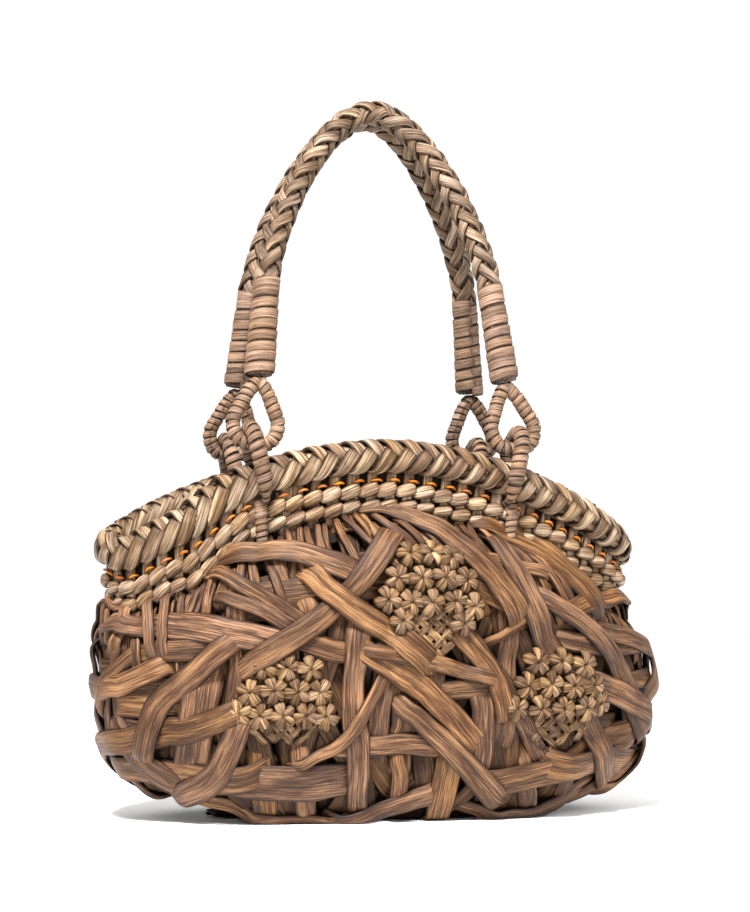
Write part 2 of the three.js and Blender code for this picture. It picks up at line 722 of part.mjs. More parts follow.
// An eye: the loop of two wrapped legs that join under the collar. Its foot is at the origin.
function eyeGeometry() {
  const half = [
    [0.7 * EYE_HALF_WIDTH, 0.2 * EYE_HALF_WIDTH],
    [EYE_HALF_WIDTH, 0.95 * EYE_HALF_WIDTH],
    [EYE_NECK_HALF_WIDTH + 0.5 * (EYE_HALF_WIDTH - EYE_NECK_HALF_WIDTH), 0.65 * EYE_HEIGHT],
    [EYE_NECK_HALF_WIDTH, EYE_HEIGHT - EYE_NECK_HALF_WIDTH],
  ];
  const points = [
    [0, 0],
    ...half,
    [0, EYE_HEIGHT],
    ...half.map(([x, z]) => [-x, z]).reverse(),
  ].map(([x, z]) => new THREE.Vector3(x, 0, z));
  const loop = new THREE.CatmullRomCurve3(points, true, "centripetal");
  return tubeOnCurve(loop, ACROSS, EYE_STATIONS, true, () =>
    round(EYE_TUBE_RADIUS, TUBE_SIDES),
  );
}

// A collar: wraps that bind the two legs below into the round plait above.
const collarFoot = EYE_HEIGHT + EYE_TUBE_RADIUS + GAP;

function collarGeometry() {
  const rings = [];
  for (let i = 0; i <= 2 * COLLAR_WRAPS; i++) {
    const share = i / (2 * COLLAR_WRAPS);
    const rise = (i % 2) * WRAP_RISE;
    const wide = between(COLLAR_FOOT_HALF_WIDTH, COLLAR_TOP_RADIUS, share) + rise;
    const thick = between(COLLAR_FOOT_HALF_THICKNESS, COLLAR_TOP_RADIUS, share) + rise;
    const z = collarFoot + COLLAR_LENGTH * share;
    rings.push(oval(wide, thick, COLLAR_SIDES).map(([x, y]) => new THREE.Vector3(x, y, z)));
  }
  return skin(rings, false);
}

// The plaited arch from collar to collar: strands that cross make raised and sunk corners.
function archGeometry() {
  const legTop = collarFoot + COLLAR_LENGTH + GAP;
  const start = new THREE.Vector3(
    pivot.x - Math.sin(legLean) * legTop,
    0,
    Math.cos(legLean) * legTop,
  );
  const leave = new THREE.Vector3(-Math.sin(legLean), 0, Math.cos(legLean));
  const mirrored = (p) => new THREE.Vector3(-p.x, 0, p.z);
  const shoulder = start.clone().addScaledVector(leave, ARCH_RISE);
  const crown = new THREE.Vector3(ARCH_CROWN, 0, ARCH_TOP);
  const top = new THREE.Vector3(0, 0, ARCH_TOP);
  const arch = new THREE.CurvePath();
  arch.add(new THREE.CubicBezierCurve3(mirrored(start), mirrored(shoulder), mirrored(crown), top));
  arch.add(new THREE.CubicBezierCurve3(top, crown, shoulder, start));
  const stations = 2 * Math.round(arch.getLength() / ARCH_PLAIT_STEP);
  return tubeOnCurve(arch, ACROSS, stations, false, (i) =>
    oval(ARCH_RADIUS, ARCH_RADIUS, ARCH_SIDES, (j) => ((i + j) % 2) * PLAIT_RISE),
  );
}

// A handle stands on its two eyes and leans in until it meets the other handle.
function handle(place, outward) {
  const reach = ARCH_RADIUS + 2 * PLAIT_RISE + GAP;
  const lean = Math.asin((-pivot.y - reach) / ARCH_TOP);
  const group = new THREE.Group();
  group.position.set(0, -outward * pivot.y, pivot.z);
  group.rotation.x = outward * lean;
  bag.add(group);
  add(`${place}_handle_plait`, archGeometry(), plaitBark, group);
  for (const [hand, side] of [["left", -1], ["right", 1]]) {
    const leg = new THREE.Group();
    leg.position.x = side * pivot.x;
    leg.rotation.y = -side * legLean;
    group.add(leg);
    add(`${place}_${hand}_eye`, eyeGeometry(), wrapBark, leg);
    add(`${place}_${hand}_collar`, collarGeometry(), wrapBark, leg);
    ring(`${place}_${hand}_ring`, side, outward);
  }
}

baseMat();
wovenWall();
twinedRows();
lacing();
plaitedRim();
barkStrips();
knottedPatches();
handle("front", -1);
handle("back", 1);

export default bag;
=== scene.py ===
import math
import bpy
import numpy as np
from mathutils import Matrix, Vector, kdtree


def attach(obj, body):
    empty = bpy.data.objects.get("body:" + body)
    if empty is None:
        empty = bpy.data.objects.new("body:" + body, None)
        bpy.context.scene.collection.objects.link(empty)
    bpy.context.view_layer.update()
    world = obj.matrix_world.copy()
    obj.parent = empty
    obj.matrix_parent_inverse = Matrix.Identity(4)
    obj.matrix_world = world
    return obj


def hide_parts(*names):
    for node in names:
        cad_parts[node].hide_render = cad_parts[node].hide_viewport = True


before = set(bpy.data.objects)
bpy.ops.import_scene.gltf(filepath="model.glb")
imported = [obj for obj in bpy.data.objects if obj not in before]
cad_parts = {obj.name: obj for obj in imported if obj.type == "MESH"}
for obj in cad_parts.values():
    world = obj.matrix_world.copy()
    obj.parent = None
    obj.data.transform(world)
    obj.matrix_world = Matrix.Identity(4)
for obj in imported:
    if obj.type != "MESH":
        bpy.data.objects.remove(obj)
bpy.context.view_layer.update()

# Studio. The photograph looks a little up at the bag from its left, at about the rim's height.
# The principal point and the focal length are in pixels of the photograph's frame.
PHOTO_WIDTH = 750
PHOTO_HEIGHT = 912
LOOK_AT = np.array([0.0, 0.0, 0.210])
CAMERA_AZIMUTH = math.radians(-13.2)
CAMERA_ELEVATION = math.radians(-3.8)
CAMERA_DISTANCE = 1.25
FOCAL_PIXELS = 2036
CENTRE_PIXEL = (369, 467)
SENSOR = 0.036

camera_back = np.array([
    math.sin(CAMERA_AZIMUTH) * math.cos(CAMERA_ELEVATION),
    -math.cos(CAMERA_AZIMUTH) * math.cos(CAMERA_ELEVATION),
    math.sin(CAMERA_ELEVATION),
])
camera_right = np.array([math.cos(CAMERA_AZIMUTH), math.sin(CAMERA_AZIMUTH), 0.0])
camera_up = np.cross(camera_back, camera_right)
camera_place = LOOK_AT + CAMERA_DISTANCE * camera_back

bpy.ops.object.select_all(action="DESELECT")
bpy.ops.object.camera_add(location=camera_place)
camera = bpy.context.object
camera.name = "camera"
camera.rotation_euler = Vector(camera_back).to_track_quat("Z", "Y").to_euler()
camera.data.sensor_fit = "HORIZONTAL"
camera.data.sensor_width = 1000 * SENSOR
camera.data.lens = 1000 * SENSOR * FOCAL_PIXELS / PHOTO_WIDTH
camera.data.shift_x = (PHOTO_WIDTH / 2 - CENTRE_PIXEL[0]) / PHOTO_WIDTH
camera.data.shift_y = (CENTRE_PIXEL[1] - PHOTO_HEIGHT / 2) / PHOTO_WIDTH
camera.data.clip_start = 0.01
bpy.context.scene.camera = camera


def pixels(points):
    """Where points of the scene fall in the photograph's frame."""
    away = points - camera_place
    depth = -(away @ camera_back)
    x = CENTRE_PIXEL[0] + FOCAL_PIXELS * (away @ camera_right) / depth
    y = CENTRE_PIXEL[1] - FOCAL_PIXELS * (away @ camera_up) / depth
    return np.stack([x, y], axis=-1)


FLOOR_SIZE = 14
FLOOR_DROP = 0.0003
FLOOR_COLOUR = (0.95, 0.95, 0.95, 1)
FLOOR_ROUGHNESS = 0.9
ROOM_LIGHT = 1.06
LIT_PLACE = (0, 0, 0.15)
LIGHTS = [
    # name, place, size in metres, watts
    ("key_light", (-0.35, -0.75, 1.30), 0.35, 108),
    ("fill_light", (1.1, -0.9, 0.7), 0.8, 8),
]
bpy.ops.object.select_all(action="DESELECT")
bpy.ops.mesh.primitive_plane_add(size=FLOOR_SIZE, location=(0, 0, -FLOOR_DROP))
floor = bpy.context.object
floor.name = "floor"
floor_finish = bpy.data.materials.new("pale_floor")
floor_finish.use_nodes = True
floor_shader = floor_finish.node_tree.nodes["Principled BSDF"]
floor_shader.inputs["Base Color"].default_value = FLOOR_COLOUR
floor_shader.inputs["Roughness"].default_value = FLOOR_ROUGHNESS
floor.data.materials.append(floor_finish)

studio = bpy.data.worlds.new("studio")
studio.use_nodes = True
studio.node_tree.nodes["Background"].inputs["Color"].default_value = (1, 1, 1, 1)
studio.node_tree.nodes["Background"].inputs["Strength"].default_value = ROOM_LIGHT
bpy.context.scene.world = studio
bpy.context.scene.view_settings.view_transform = "Standard"
for name, place, size, watts in LIGHTS:
    bpy.ops.object.select_all(action="DESELECT")
    bpy.ops.object.light_add(type="AREA", location=place)
    light = bpy.context.object
    light.name = name
    light.rotation_euler = (Vector(place) - Vector(LIT_PLACE)).to_track_quat("Z", "Y").to_euler()
    light.data.size = size
    light.data.energy = watts

# The bag's form, which every strip of bark is bent over: a rounded oval at each level, a rim line
# that is high in the middle and low at both ends, and a wall that swells between base and neck.
# Angles run from the right-hand end, with the front at minus a quarter turn.
PLAN_POWER = 2.4
RIM_HALF_LENGTH = 0.160
RIM_HALF_DEPTH = 0.050
RIM_MID_HEIGHT = 0.213
RIM_END_DROP = 0.053
RIM_DROP_POWER = 1.85
RIM_SAG = 0.0105
SAG_BEGINS = 182
SAG_FULL = (204, 222)
SAG_ENDS = 243
STITCHES = 68
RIM_HALF_HEIGHT = 0.0109
RIM_HALF_THICKNESS = 0.0062
LACING_GAP = 0.0056
ROW_PITCH = 0.0091
ROW_COUNT = 2
NECK_INSET = 0.002
ROW_INSET = 0.0025
WALL_TOP_GAP = 0.0006
NECK_FOOT = -RIM_HALF_HEIGHT - LACING_GAP - ROW_COUNT * ROW_PITCH - WALL_TOP_GAP
BASE_SIZE = (0.112, 0.042)
BELLY_SIZE = (0.171, 0.066)
TOP_SIZE = (RIM_HALF_LENGTH - NECK_INSET - ROW_INSET, RIM_HALF_DEPTH - NECK_INSET - ROW_INSET)
HEEL = (0.10, 0.55)
FLANK = (0.30, 0.90)
BELLY_LEVEL = 0.56
SHOULDER = (0.84, 0.82)
BODY_SHIFT = 0.0065


def power(value, exponent):
    return np.sign(value) * np.abs(value) ** exponent


def unit(vectors):
    return vectors / np.maximum(np.linalg.norm(vectors, axis=-1, keepdims=True), 1e-12)


def eased(share):
    """A share from nought to one that starts and ends gently."""
    return share * share * (3 - 2 * share)


def part_way(low, high, share):
    return low + (high - low) * share


def run_length(points):
    """How far along a line each of its points is."""
    return np.concatenate([[0], np.cumsum(np.linalg.norm(np.diff(points, axis=0), axis=1))])


def along_run(wanted, length, values):
    """The values of a line at the lengths wanted."""
    return np.stack([np.interp(wanted, length, column) for column in np.moveaxis(values, -1, 0)], -1)


def smooth_run(points, steps):
    """An even curve through a few points, with so many steps from each to the next."""
    points = np.asarray(points, float)
    run = np.vstack([2 * points[0] - points[1], points, 2 * points[-1] - points[-2]])
    share = np.linspace(0, 1, steps, endpoint=False)[:, None]
    parts = []
    for before, here, there, beyond in zip(run, run[1:], run[2:], run[3:]):
        gaps = [max(np.linalg.norm(b - a) ** 0.5, 1e-9)
                for a, b in ((before, here), (here, there), (there, beyond))]
        leave = (here - before) / gaps[0] - (there - before) / (gaps[0] + gaps[1])
        leave = (leave + (there - here) / gaps[1]) * gaps[1]
        arrive = (there - here) / gaps[1] - (beyond - here) / (gaps[1] + gaps[2])
        arrive = (arrive + (beyond - there) / gaps[2]) * gaps[1]
        bend = -3 * here + 3 * there - 2 * leave - arrive
        twist = 2 * here - 2 * there + leave + arrive
        parts.append(here + leave * share + bend * share**2 + twist * share**3)
    return np.vstack([*parts, points[-1:]])


def oval_edge(angle, half_length, half_depth):
    return np.stack([
        half_length * power(np.cos(angle), 2 / PLAN_POWER),
        half_depth * power(np.sin(angle), 2 / PLAN_POWER),
        np.zeros(np.shape(angle)),
    ], axis=-1)


def outwards(angle, half_length, half_depth):
    edge = oval_edge(angle, half_length, half_depth)
    return unit(np.stack([
        power(edge[..., 0] / half_length, PLAN_POWER - 1) / half_length,
        power(edge[..., 1] / half_depth, PLAN_POWER - 1) / half_depth,
        np.zeros(np.shape(angle)),
    ], axis=-1))


def rim_line(angle):
    line = oval_edge(angle, RIM_HALF_LENGTH, RIM_HALF_DEPTH)
    drop = np.abs(line[..., 0] / RIM_HALF_LENGTH) ** RIM_DROP_POWER
    degrees = np.degrees(angle) % 360
    begun = np.clip((degrees - SAG_BEGINS) / (SAG_FULL[0] - SAG_BEGINS), 0, 1)
    ended = np.clip((degrees - SAG_FULL[1]) / (SAG_ENDS - SAG_FULL[1]), 0, 1)
    line[..., 2] = RIM_MID_HEIGHT - RIM_END_DROP * drop - RIM_SAG * eased(begun) * (1 - eased(ended))
    return line


def slope_stretch(angle):
    """How much taller an upright cut through the sloping neck is than one square to it."""
    run = rim_line(angle + 0.02) - rim_line(angle - 0.02)
    return np.linalg.norm(run, axis=-1) / np.hypot(run[..., 0], run[..., 1])


def neck_place(angle, out, up):
    place = rim_line(angle) + outwards(angle, RIM_HALF_LENGTH, RIM_HALF_DEPTH) * np.asarray(out)[..., None]
    place[..., 2] += up * slope_stretch(angle)
    return place


turn_steps = np.linspace(0, 2 * math.pi, 1441)
rim_lengths = run_length(rim_line(turn_steps))


def stitch_angle(stitch):
    """The angle of a place on the rim line that is counted in stitches."""
    turns = np.floor(stitch / STITCHES)
    length = (stitch / STITCHES - turns) * rim_lengths[-1]
    return 2 * math.pi * turns + np.interp(length, rim_lengths, turn_steps)


def wall_level(low, high, level, share):
    """Half length, half depth and level of the wall, some way from one size to another."""
    return part_way(low[0], high[0], share), part_way(low[1], high[1], share), level / 10


wall_levels = smooth_run([
    (*BASE_SIZE, 0),
    wall_level(BASE_SIZE, BELLY_SIZE, *HEEL),
    wall_level(BASE_SIZE, BELLY_SIZE, *FLANK),
    (*BELLY_SIZE, BELLY_LEVEL / 10),
    wall_level(TOP_SIZE, BELLY_SIZE, *SHOULDER),
    (*TOP_SIZE, 0.1),
], 100)
wall_levels[:, 2] *= 10
level_shares = np.linspace(0, 1, len(wall_levels))
level_slopes = np.gradient(wall_levels, level_shares, axis=0)


def wall_place(angle, share, out=0.0):
    """A point of the wall at an angle and a share of the way up, moved out from its outer face."""
    angle, share, out = np.broadcast_arrays(
        np.asarray(angle, float), np.asarray(share, float), np.asarray(out, float))
    inside = np.clip(share, 0, 1)
    slope = np.moveaxis(along_run(inside, level_shares, level_slopes), -1, 0)
    level = np.moveaxis(along_run(inside, level_shares, wall_levels), -1, 0) + slope * (share - inside)
    height = neck_place(angle, np.zeros(angle.shape), NECK_FOOT)[..., 2]
    run = np.hypot(slope[0], slope[2] * height)
    slant = outwards(angle, level[0], level[1])
    place = oval_edge(angle, level[0], level[1]) + slant * (out * slope[2] * height / run)[..., None]
    rise = np.clip((level[2] - BELLY_LEVEL) / (1 - BELLY_LEVEL), 0, 1)
    place[..., 0] += BODY_SHIFT * (1 - eased(rise))
    place[..., 2] = level[2] * height - out * slope[0] / run
    return place

# Bark strip, which nearly all of the bag is made of: the stringy bark of a vine, split, flattened
# and folded lengthwise. Each strip starts as a straight round blank, whose stations and sides are
# then laid along the strip's route. Its grain runs along it, and no two strips have quite one tone.
MOST_CUTS = 100
FOLDS = 3
ROLLED_EDGE = 0.74
SECTION_TURN = 1.35
BARK_RELIEF = 0.0009
blanks = {}


def bark_blank(stations, sides):
    """Where a blank's corners lie along and round it, and its faces. Long blanks have odd stations."""
    if (stations, sides) in blanks:
        return blanks[stations, sides]
    bpy.ops.object.select_all(action="DESELECT")
    bpy.ops.mesh.primitive_cylinder_add(vertices=sides, radius=1, depth=2)
    blank = bpy.context.object
    bpy.ops.object.mode_set(mode="EDIT")
    bpy.ops.mesh.select_mode(type="EDGE")
    halvings = 1 if stations - 1 > MOST_CUTS else 0
    for cuts in [1] * halvings + [(stations - 1) // 2**halvings - 1]:
        bpy.ops.object.mode_set(mode="EDIT")
        bpy.ops.mesh.select_all(action="DESELECT")
        bpy.ops.object.mode_set(mode="OBJECT")
        for edge in blank.data.edges:
            low, high = (blank.data.vertices[i].co.z for i in edge.vertices)
            edge.select = abs(low - high) > 0.5
        bpy.ops.object.mode_set(mode="EDIT")
        bpy.ops.mesh.subdivide(number_cuts=cuts)
        bpy.ops.object.mode_set(mode="OBJECT")
    corners = np.zeros(3 * len(blank.data.vertices))
    blank.data.vertices.foreach_get("co", corners)
    x, y, z = corners.reshape(-1, 3).T
    along = np.rint((z + 1) / 2 * (stations - 1)).astype(int)
    around = np.rint(np.arctan2(x, y) / (2 * math.pi / sides)).astype(int) % sides
    loops = np.zeros(len(blank.data.loops), int)
    blank.data.loops.foreach_get("vertex_index", loops)
    sizes = np.zeros(len(blank.data.polygons), int)
    blank.data.polygons.foreach_get("loop_total", sizes)
    bpy.data.meshes.remove(blank.data)
    blanks[stations, sides] = (along, around, loops, sizes)
    return blanks[stations, sides]


class Bundle:
    """Strips that will be one piece: their corners, their faces and the grain at each corner."""

    def __init__(self):
        self.points, self.loops, self.sizes, self.grain, self.wear_and_painted_shading = [], [], [], [], []
        self.count = 0

    def add(self, blank, grid, grain, wear_and_painted_shading):
        along, around, loops, sizes = blank
        self.points.append(grid[along, around])
        self.loops.append(loops + self.count)
        self.sizes.append(sizes)
        self.grain.append(grain[along, around])
        self.wear_and_painted_shading.append(np.broadcast_to(wear_and_painted_shading, grid.shape[:2])[along, around])
        self.count += len(along)

    def piece(self, name, finish, body, slot, *nodes):
        mesh = bpy.data.meshes.new(name)
        points, loops, sizes = (np.concatenate(part) for part in (self.points, self.loops, self.sizes))
        mesh.vertices.add(len(points))
        mesh.vertices.foreach_set("co", points.ravel())
        mesh.loops.add(len(loops))
        mesh.loops.foreach_set("vertex_index", loops)
        mesh.polygons.add(len(sizes))
        mesh.polygons.foreach_set("loop_start", np.concatenate([[0], np.cumsum(sizes)[:-1]]))
        mesh.polygons.foreach_set("use_smooth", np.ones(len(sizes), bool))
        mesh.update(calc_edges=True)
        mesh.attributes.new("grain", "FLOAT_VECTOR", "POINT").data.foreach_set(
            "vector", np.concatenate(self.grain).ravel())
        # Each corner's second value is painted shading: a painted highlight on crowns, partly worn bark, and
        # painted shade at edges, ends, deep places and the foot.
        mesh.attributes.new("wear_and_painted_shading", "FLOAT", "POINT").data.foreach_set("value", np.concatenate(self.wear_and_painted_shading))
        mesh.materials.append(finish)
        thing = bpy.data.objects.new(name, mesh)
        bpy.context.scene.collection.objects.link(thing)
        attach(thing, body)
        if nodes:
            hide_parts(*nodes)


def bark_section(sides, flat):
    """A strip's section: across from -1 to 1, and up or down, from the middle of its top."""
    turn = np.arange(sides) / (sides / 4)
    lap = np.where(turn <= 1, turn, np.where(turn <= 3, 2 - turn, turn - 4))
    across = np.sin(SECTION_TURN * lap) / math.sin(SECTION_TURN)
    side = np.where((turn < 1) | (turn > 3), 1.0, np.where((turn > 1) & (turn < 3), -1.0, 0.0))
    return across, side * np.clip(1 - np.abs(across) ** flat, 0, 1) ** (1 / flat if flat > 4 else 0.5)


def wander(rng, length, shortest, longest):
    """A gentle wave along a strip, between minus one and one."""
    return np.sin(length / rng.uniform(shortest, longest) + rng.uniform(0, 6.3))


def bark_folds(rng, length, across, height):
    """Lengthwise folds that wander a little, and a rolled edge: a height for each station and side."""
    total = np.zeros((len(length), len(across)))
    for number in range(FOLDS):
        waves = 0.5 + 0.6 * number + rng.uniform(-0.25, 0.25)
        drift = 0.25 * wander(rng, length, 0.02, 0.05)
        fade = 0.6 + 0.4 * wander(rng, length, 0.015, 0.04)
        phase = 2 * math.pi * (waves * (across[None, :] + drift[:, None]) / 2 + rng.uniform())
        total += height / (1 + 0.8 * number) * fade[:, None] * 0.5 * np.cos(phase)
    edge = rng.choice([-1, 1]) * (ROLLED_EDGE + 0.08 * wander(rng, length, 0.02, 0.05))
    roll = rng.uniform(0.4, 1.3) * (0.7 + 0.3 * wander(rng, length, 0.01, 0.03))
    total += height * roll[:, None] * np.exp(-((across[None, :] - edge[:, None]) / 0.2) ** 2)
    return total


def lay_bark(bundle, rng, centre, out, width, thick, sides=8, folds=0.0, turn=None, bend=0.0, end=0.5,
             flat=2.6, shade=1.0):
    """Lays one strip along its centre line. out points up from its flat side."""
    stations = len(centre)
    run = run_length(centre)
    ahead = unit(np.gradient(centre, axis=0))
    across = unit(np.cross(out, ahead))
    up = unit(np.cross(ahead, across))
    side, height = bark_section(sides, flat)
    width = np.broadcast_to(width, stations).copy()
    thick = np.broadcast_to(thick, stations).copy()
    width[[0, -1]] *= end
    thick[[0, -1]] *= end
    fold = bark_folds(rng, run + rng.uniform(0, 1), side, folds) if folds else np.zeros((stations, sides))
    fold[[0, -1]] *= 0.3
    lift = height * thick[:, None] / 2 + np.where(height > 0, fold, fold * 0.5)
    if turn is not None:
        lift += side * np.asarray(turn)[:, None] * width[:, None] / 2
    aside = side * width[:, None] / 2
    lift -= aside**2 * np.reshape(bend, (-1, 1)) / 2
    grid = centre[:, None] + across[:, None] * aside[..., None] + up[:, None] * lift[..., None]
    tone = rng.uniform()
    start = rng.uniform(0, 5)
    grain = np.stack([np.broadcast_to(run[:, None] + start, aside.shape), aside,
                      np.full(aside.shape, tone)], -1)
    # Painted shading for the finish: lighter on the crown and on raised folds, partly worn bark and partly a
    # painted highlight, and darker towards the edges and by the shade factor, which is painted shade.
    wear_and_painted_shading = np.clip(1.5 * height, 0, 1) * (1 + 0.25 * fold / max(folds, 1e-6)) * np.reshape(shade, (-1, 1))
    wear_and_painted_shading = np.broadcast_to(wear_and_painted_shading, fold.shape).copy()
    # Painted shade at both ends, where the strip dives under others.
    wear_and_painted_shading[[0, -1]] *= 0.4
    wear_and_painted_shading[[1, -2]] *= 0.8
    bundle.add(bark_blank(stations, sides), grid, grain, wear_and_painted_shading)


def linear(red, green, blue):
    """A colour given as it looks, in 255ths, for a shader's socket."""
    return tuple(((c / 255 + 0.055) / 1.055) ** 2.4 for c in (red, green, blue))


def bark_finish(name, colours, roughness=0.6, fibre=1700, tone_range=(0.82, 1.16), relief=0.6, gloss=0.16):
    """Dry bark: fine fibres along the strip, broad streaks, a tone for each strip, and painted shading from
    each corner's value: a painted highlight on crowns, partly worn bark, and painted shade.
    """
    finish = bpy.data.materials.new(name)
    finish.use_nodes = True
    tree = finish.node_tree
    shader = tree.nodes["Principled BSDF"]
    shader.inputs["Specular IOR Level"].default_value = gloss

    def node(kind, inputs, **settings):
        made = tree.nodes.new(kind)
        for key, value in settings.items():
            setattr(made, key, value)
        for key, value in inputs.items():
            if isinstance(value, bpy.types.NodeSocket):
                tree.links.new(value, made.inputs[key])
            else:
                made.inputs[key].default_value = value
        return made.outputs

    def maths(operation, *values):
        return node("ShaderNodeMath", dict(enumerate(values)), operation=operation)[0]

    grain = node("ShaderNodeAttribute", {}, attribute_name="grain")["Vector"]
    wear_and_painted_shading = node("ShaderNodeAttribute", {}, attribute_name="wear_and_painted_shading")["Fac"]
    tone = node("ShaderNodeSeparateXYZ", {"Vector": grain})["Z"]

    def noise(along, across, detail, rough, distortion=0.0):
        stretched = node("ShaderNodeVectorMath", {0: grain, 1: (along, across, 37.0)}, operation="MULTIPLY")
        return node("ShaderNodeTexNoise", {"Vector": stretched[0], "Scale": 1, "Detail": detail,
                                           "Roughness": rough, "Distortion": distortion})["Fac"]

    def cracks(along, across, detail, distortion, sharpness):
        away = maths("ABSOLUTE", maths("SUBTRACT", noise(along, across, detail, 0.5, distortion), 0.5))
        return maths("MINIMUM", maths("MULTIPLY", away, sharpness), 1.0)

    def weighted(*parts):
        """The sum of each part, less its middle, times its weight."""
        total = -sum(middle * weight for _, middle, weight in parts)
        for part, _, weight in parts:
            total = maths("MULTIPLY_ADD", part, weight, total)
        return total

    fibres = noise(fibre / 30, fibre, 3, 0.65, 0.2)
    streaks = noise(fibre / 90, fibre / 5, 4, 0.6, 0.3)
    patches = noise(fibre / 70, fibre / 26, 3, 0.5)
    specks = noise(fibre / 4, fibre / 2.2, 2, 0.5)
    split = cracks(fibre / 130, fibre / 11, 2, 0.4, 40)
    lines = cracks(fibre / 110, fibre / 3.2, 1, 0.2, 15)
    # The painted shading value lifts the colour ramp towards its light tone: a painted highlight.
    mixed = weighted((fibres, 0, 0.6), (streaks, 0, 0.4), (patches, 0.5, 0.3), (wear_and_painted_shading, 0.8, 0.12))
    ramp = tree.nodes.new("ShaderNodeValToRGB")
    tree.links.new(mixed, ramp.inputs["Fac"])
    dark, middle, light = (linear(*colour) for colour in colours)
    stops = ramp.color_ramp.elements
    stops[0].position, stops[0].color = 0.32, (*dark, 1)
    stops[1].position, stops[1].color = 0.68, (*light, 1)
    stops.new(0.49).color = (*middle, 1)
    value = maths("MULTIPLY_ADD", tone, tone_range[1] - tone_range[0], tone_range[0])
    # The last mark is painted shade and highlight: the painted shading value scales the colour from 0.42 of
    # itself upwards.
    marks = (specks, 0.3, 0.85), (split, 0.42, 0.58), (lines, 0.34, 0.70), (wear_and_painted_shading, 0.66, 0.42)
    for mark, reach, least in marks:
        value = maths("MULTIPLY", value, maths("MULTIPLY_ADD", mark, reach, least))
    spin = maths("FRACT", maths("MULTIPLY", tone, 7.31))
    shade = node("ShaderNodeHueSaturation", {
        "Color": ramp.outputs["Color"], "Value": value,
        "Hue": maths("MULTIPLY_ADD", spin, 0.006, 0.497),
        "Saturation": maths("MULTIPLY_ADD", spin, 0.14, 0.95)})
    high = weighted((fibres, 0, 0.5), (streaks, 0, 0.22), (split, 0, 0.35), (lines, 0, 0.2))
    bump = node("ShaderNodeBump", {"Strength": relief, "Distance": BARK_RELIEF, "Height": high})
    tree.links.new(shade["Color"], shader.inputs["Base Color"])
    tree.links.new(maths("MULTIPLY_ADD", fibres, 0.3, roughness - 0.15), shader.inputs["Roughness"])
    tree.links.new(bump["Normal"], shader.inputs["Normal"])
    return finish


# Each bark has a dark, a middle and a light tone.
STRIP_COLOURS = (22, 11, 3), (50, 28, 11), (112, 82, 56)
# The under and second-layer barks are the strip bark made darker, as painted shade for the inside and the
# lower layers.
UNDER_SHADE_COLOURS = (10, 6, 3), (22, 13, 7), (40, 26, 15)
LAYER_SHADE_COLOURS = (20, 12, 6), (42, 27, 15), (74, 53, 36)
strip_finish = bark_finish("strip_bark", STRIP_COLOURS)
shaded_under_finish = bark_finish("under_bark", UNDER_SHADE_COLOURS, gloss=0.04)
shaded_layer_finish = bark_finish("shaded_layer_bark", LAYER_SHADE_COLOURS, gloss=0.08)

# Base mat, the flat plaited bottom that the bag stands on: bark strips woven square, one over and
# one under, and trimmed to the oval that the wall starts from.
MAT_STRIP = 0.0125
MAT_THICKNESS = 0.0034
MAT_STRIP_THICKNESS = 0.0015
MAT_LIFT = 0.0004
MAT_STATION = 0.00625
MAT_INSET = 0.002
MAT_TRIM = 0.004
MAT_WAVE = 0.0006


def base_mat():
    rng = np.random.default_rng(3)
    bundle = Bundle()
    inner = (BASE_SIZE[0] - MAT_INSET, BASE_SIZE[1] - MAT_INSET)
    for axis in (0, 1):
        half, other = inner[axis], inner[1 - axis]
        count = int(other / MAT_STRIP)
        for row in range(-count, count + 1):
            offset = row * MAT_STRIP * 0.98
            reach = half * max(1 - abs(offset / other) ** PLAN_POWER, 0.02) ** (1 / PLAN_POWER) - MAT_TRIM
            stations = max(int(2 * reach / MAT_STATION) + 1, 3)
            along = np.linspace(-reach, reach, stations)
            wave = np.cos(math.pi * along / MAT_STRIP) * (1 if (row + axis) % 2 else -1)
            centre = np.zeros((stations, 3))
            centre[:, axis] = along
            centre[:, 1 - axis] = offset
            centre[:, 0] += BODY_SHIFT
            centre[:, 2] = MAT_THICKNESS / 2 + MAT_WAVE * wave
            out = np.tile((0.0, 0.0, 1.0), (stations, 1))
            lay_bark(bundle, rng, centre, out, MAT_STRIP * 0.94, MAT_STRIP_THICKNESS, 8, 0.0002, end=0.9)
    for part in bundle.points:
        np.clip(part[:, 2], MAT_LIFT, MAT_THICKNESS + MAT_WAVE, out=part[:, 2])
    # The mat is in the under bark, darkened as painted shade.
    bundle.piece("base_mat_bark", shaded_under_finish, "basket", "under_bark", "base_mat")


base_mat()

# Bark strips of the body, woven in no fixed pattern: thin ones in the wall, and broad ones over and
# through them. Those of the front are placed by listed pixels of the photograph, from the lowest
# level to the highest, and each settles on the ones that it crosses before any of them is made.
PIXEL = 0.00059
STRIP_STATION = 0.0026
MOST_STATIONS = 100
END_SPAN = 0.012
STRIP_THICKNESS = 0.0032
RUN_ON = 0.012
SHORT_RUN_ON = 0.003
TUCK = 0.013
TUCK_DROP = 4.6
FRONT_LOOK_OUT = 0.005

look_angles, look_shares = np.meshgrid(
    np.linspace(-math.pi - 0.75, 0.75, 520), np.linspace(-0.05, 1.02, 170), indexing="ij")
look_places = wall_place(look_angles, look_shares, FRONT_LOOK_OUT)
look_normals = np.cross(np.gradient(look_places, axis=0), np.gradient(look_places, axis=1))
seen = np.sum(look_normals * (camera_place - look_places), axis=-1) > 0
look_angles, look_shares, look_pixels = look_angles[seen], look_shares[seen], pixels(look_places[seen])


def wall_route(route):
    """Angles and shares of the wall under a route of pixels."""
    marks = smooth_run(route, 10)
    nearest = [int(np.argmin(((look_pixels - mark) ** 2).sum(-1))) for mark in marks]
    return np.stack([look_angles[nearest], look_shares[nearest]], -1)


def along_wall(places):
    return run_length(wall_place(places[:, 0], places[:, 1]))


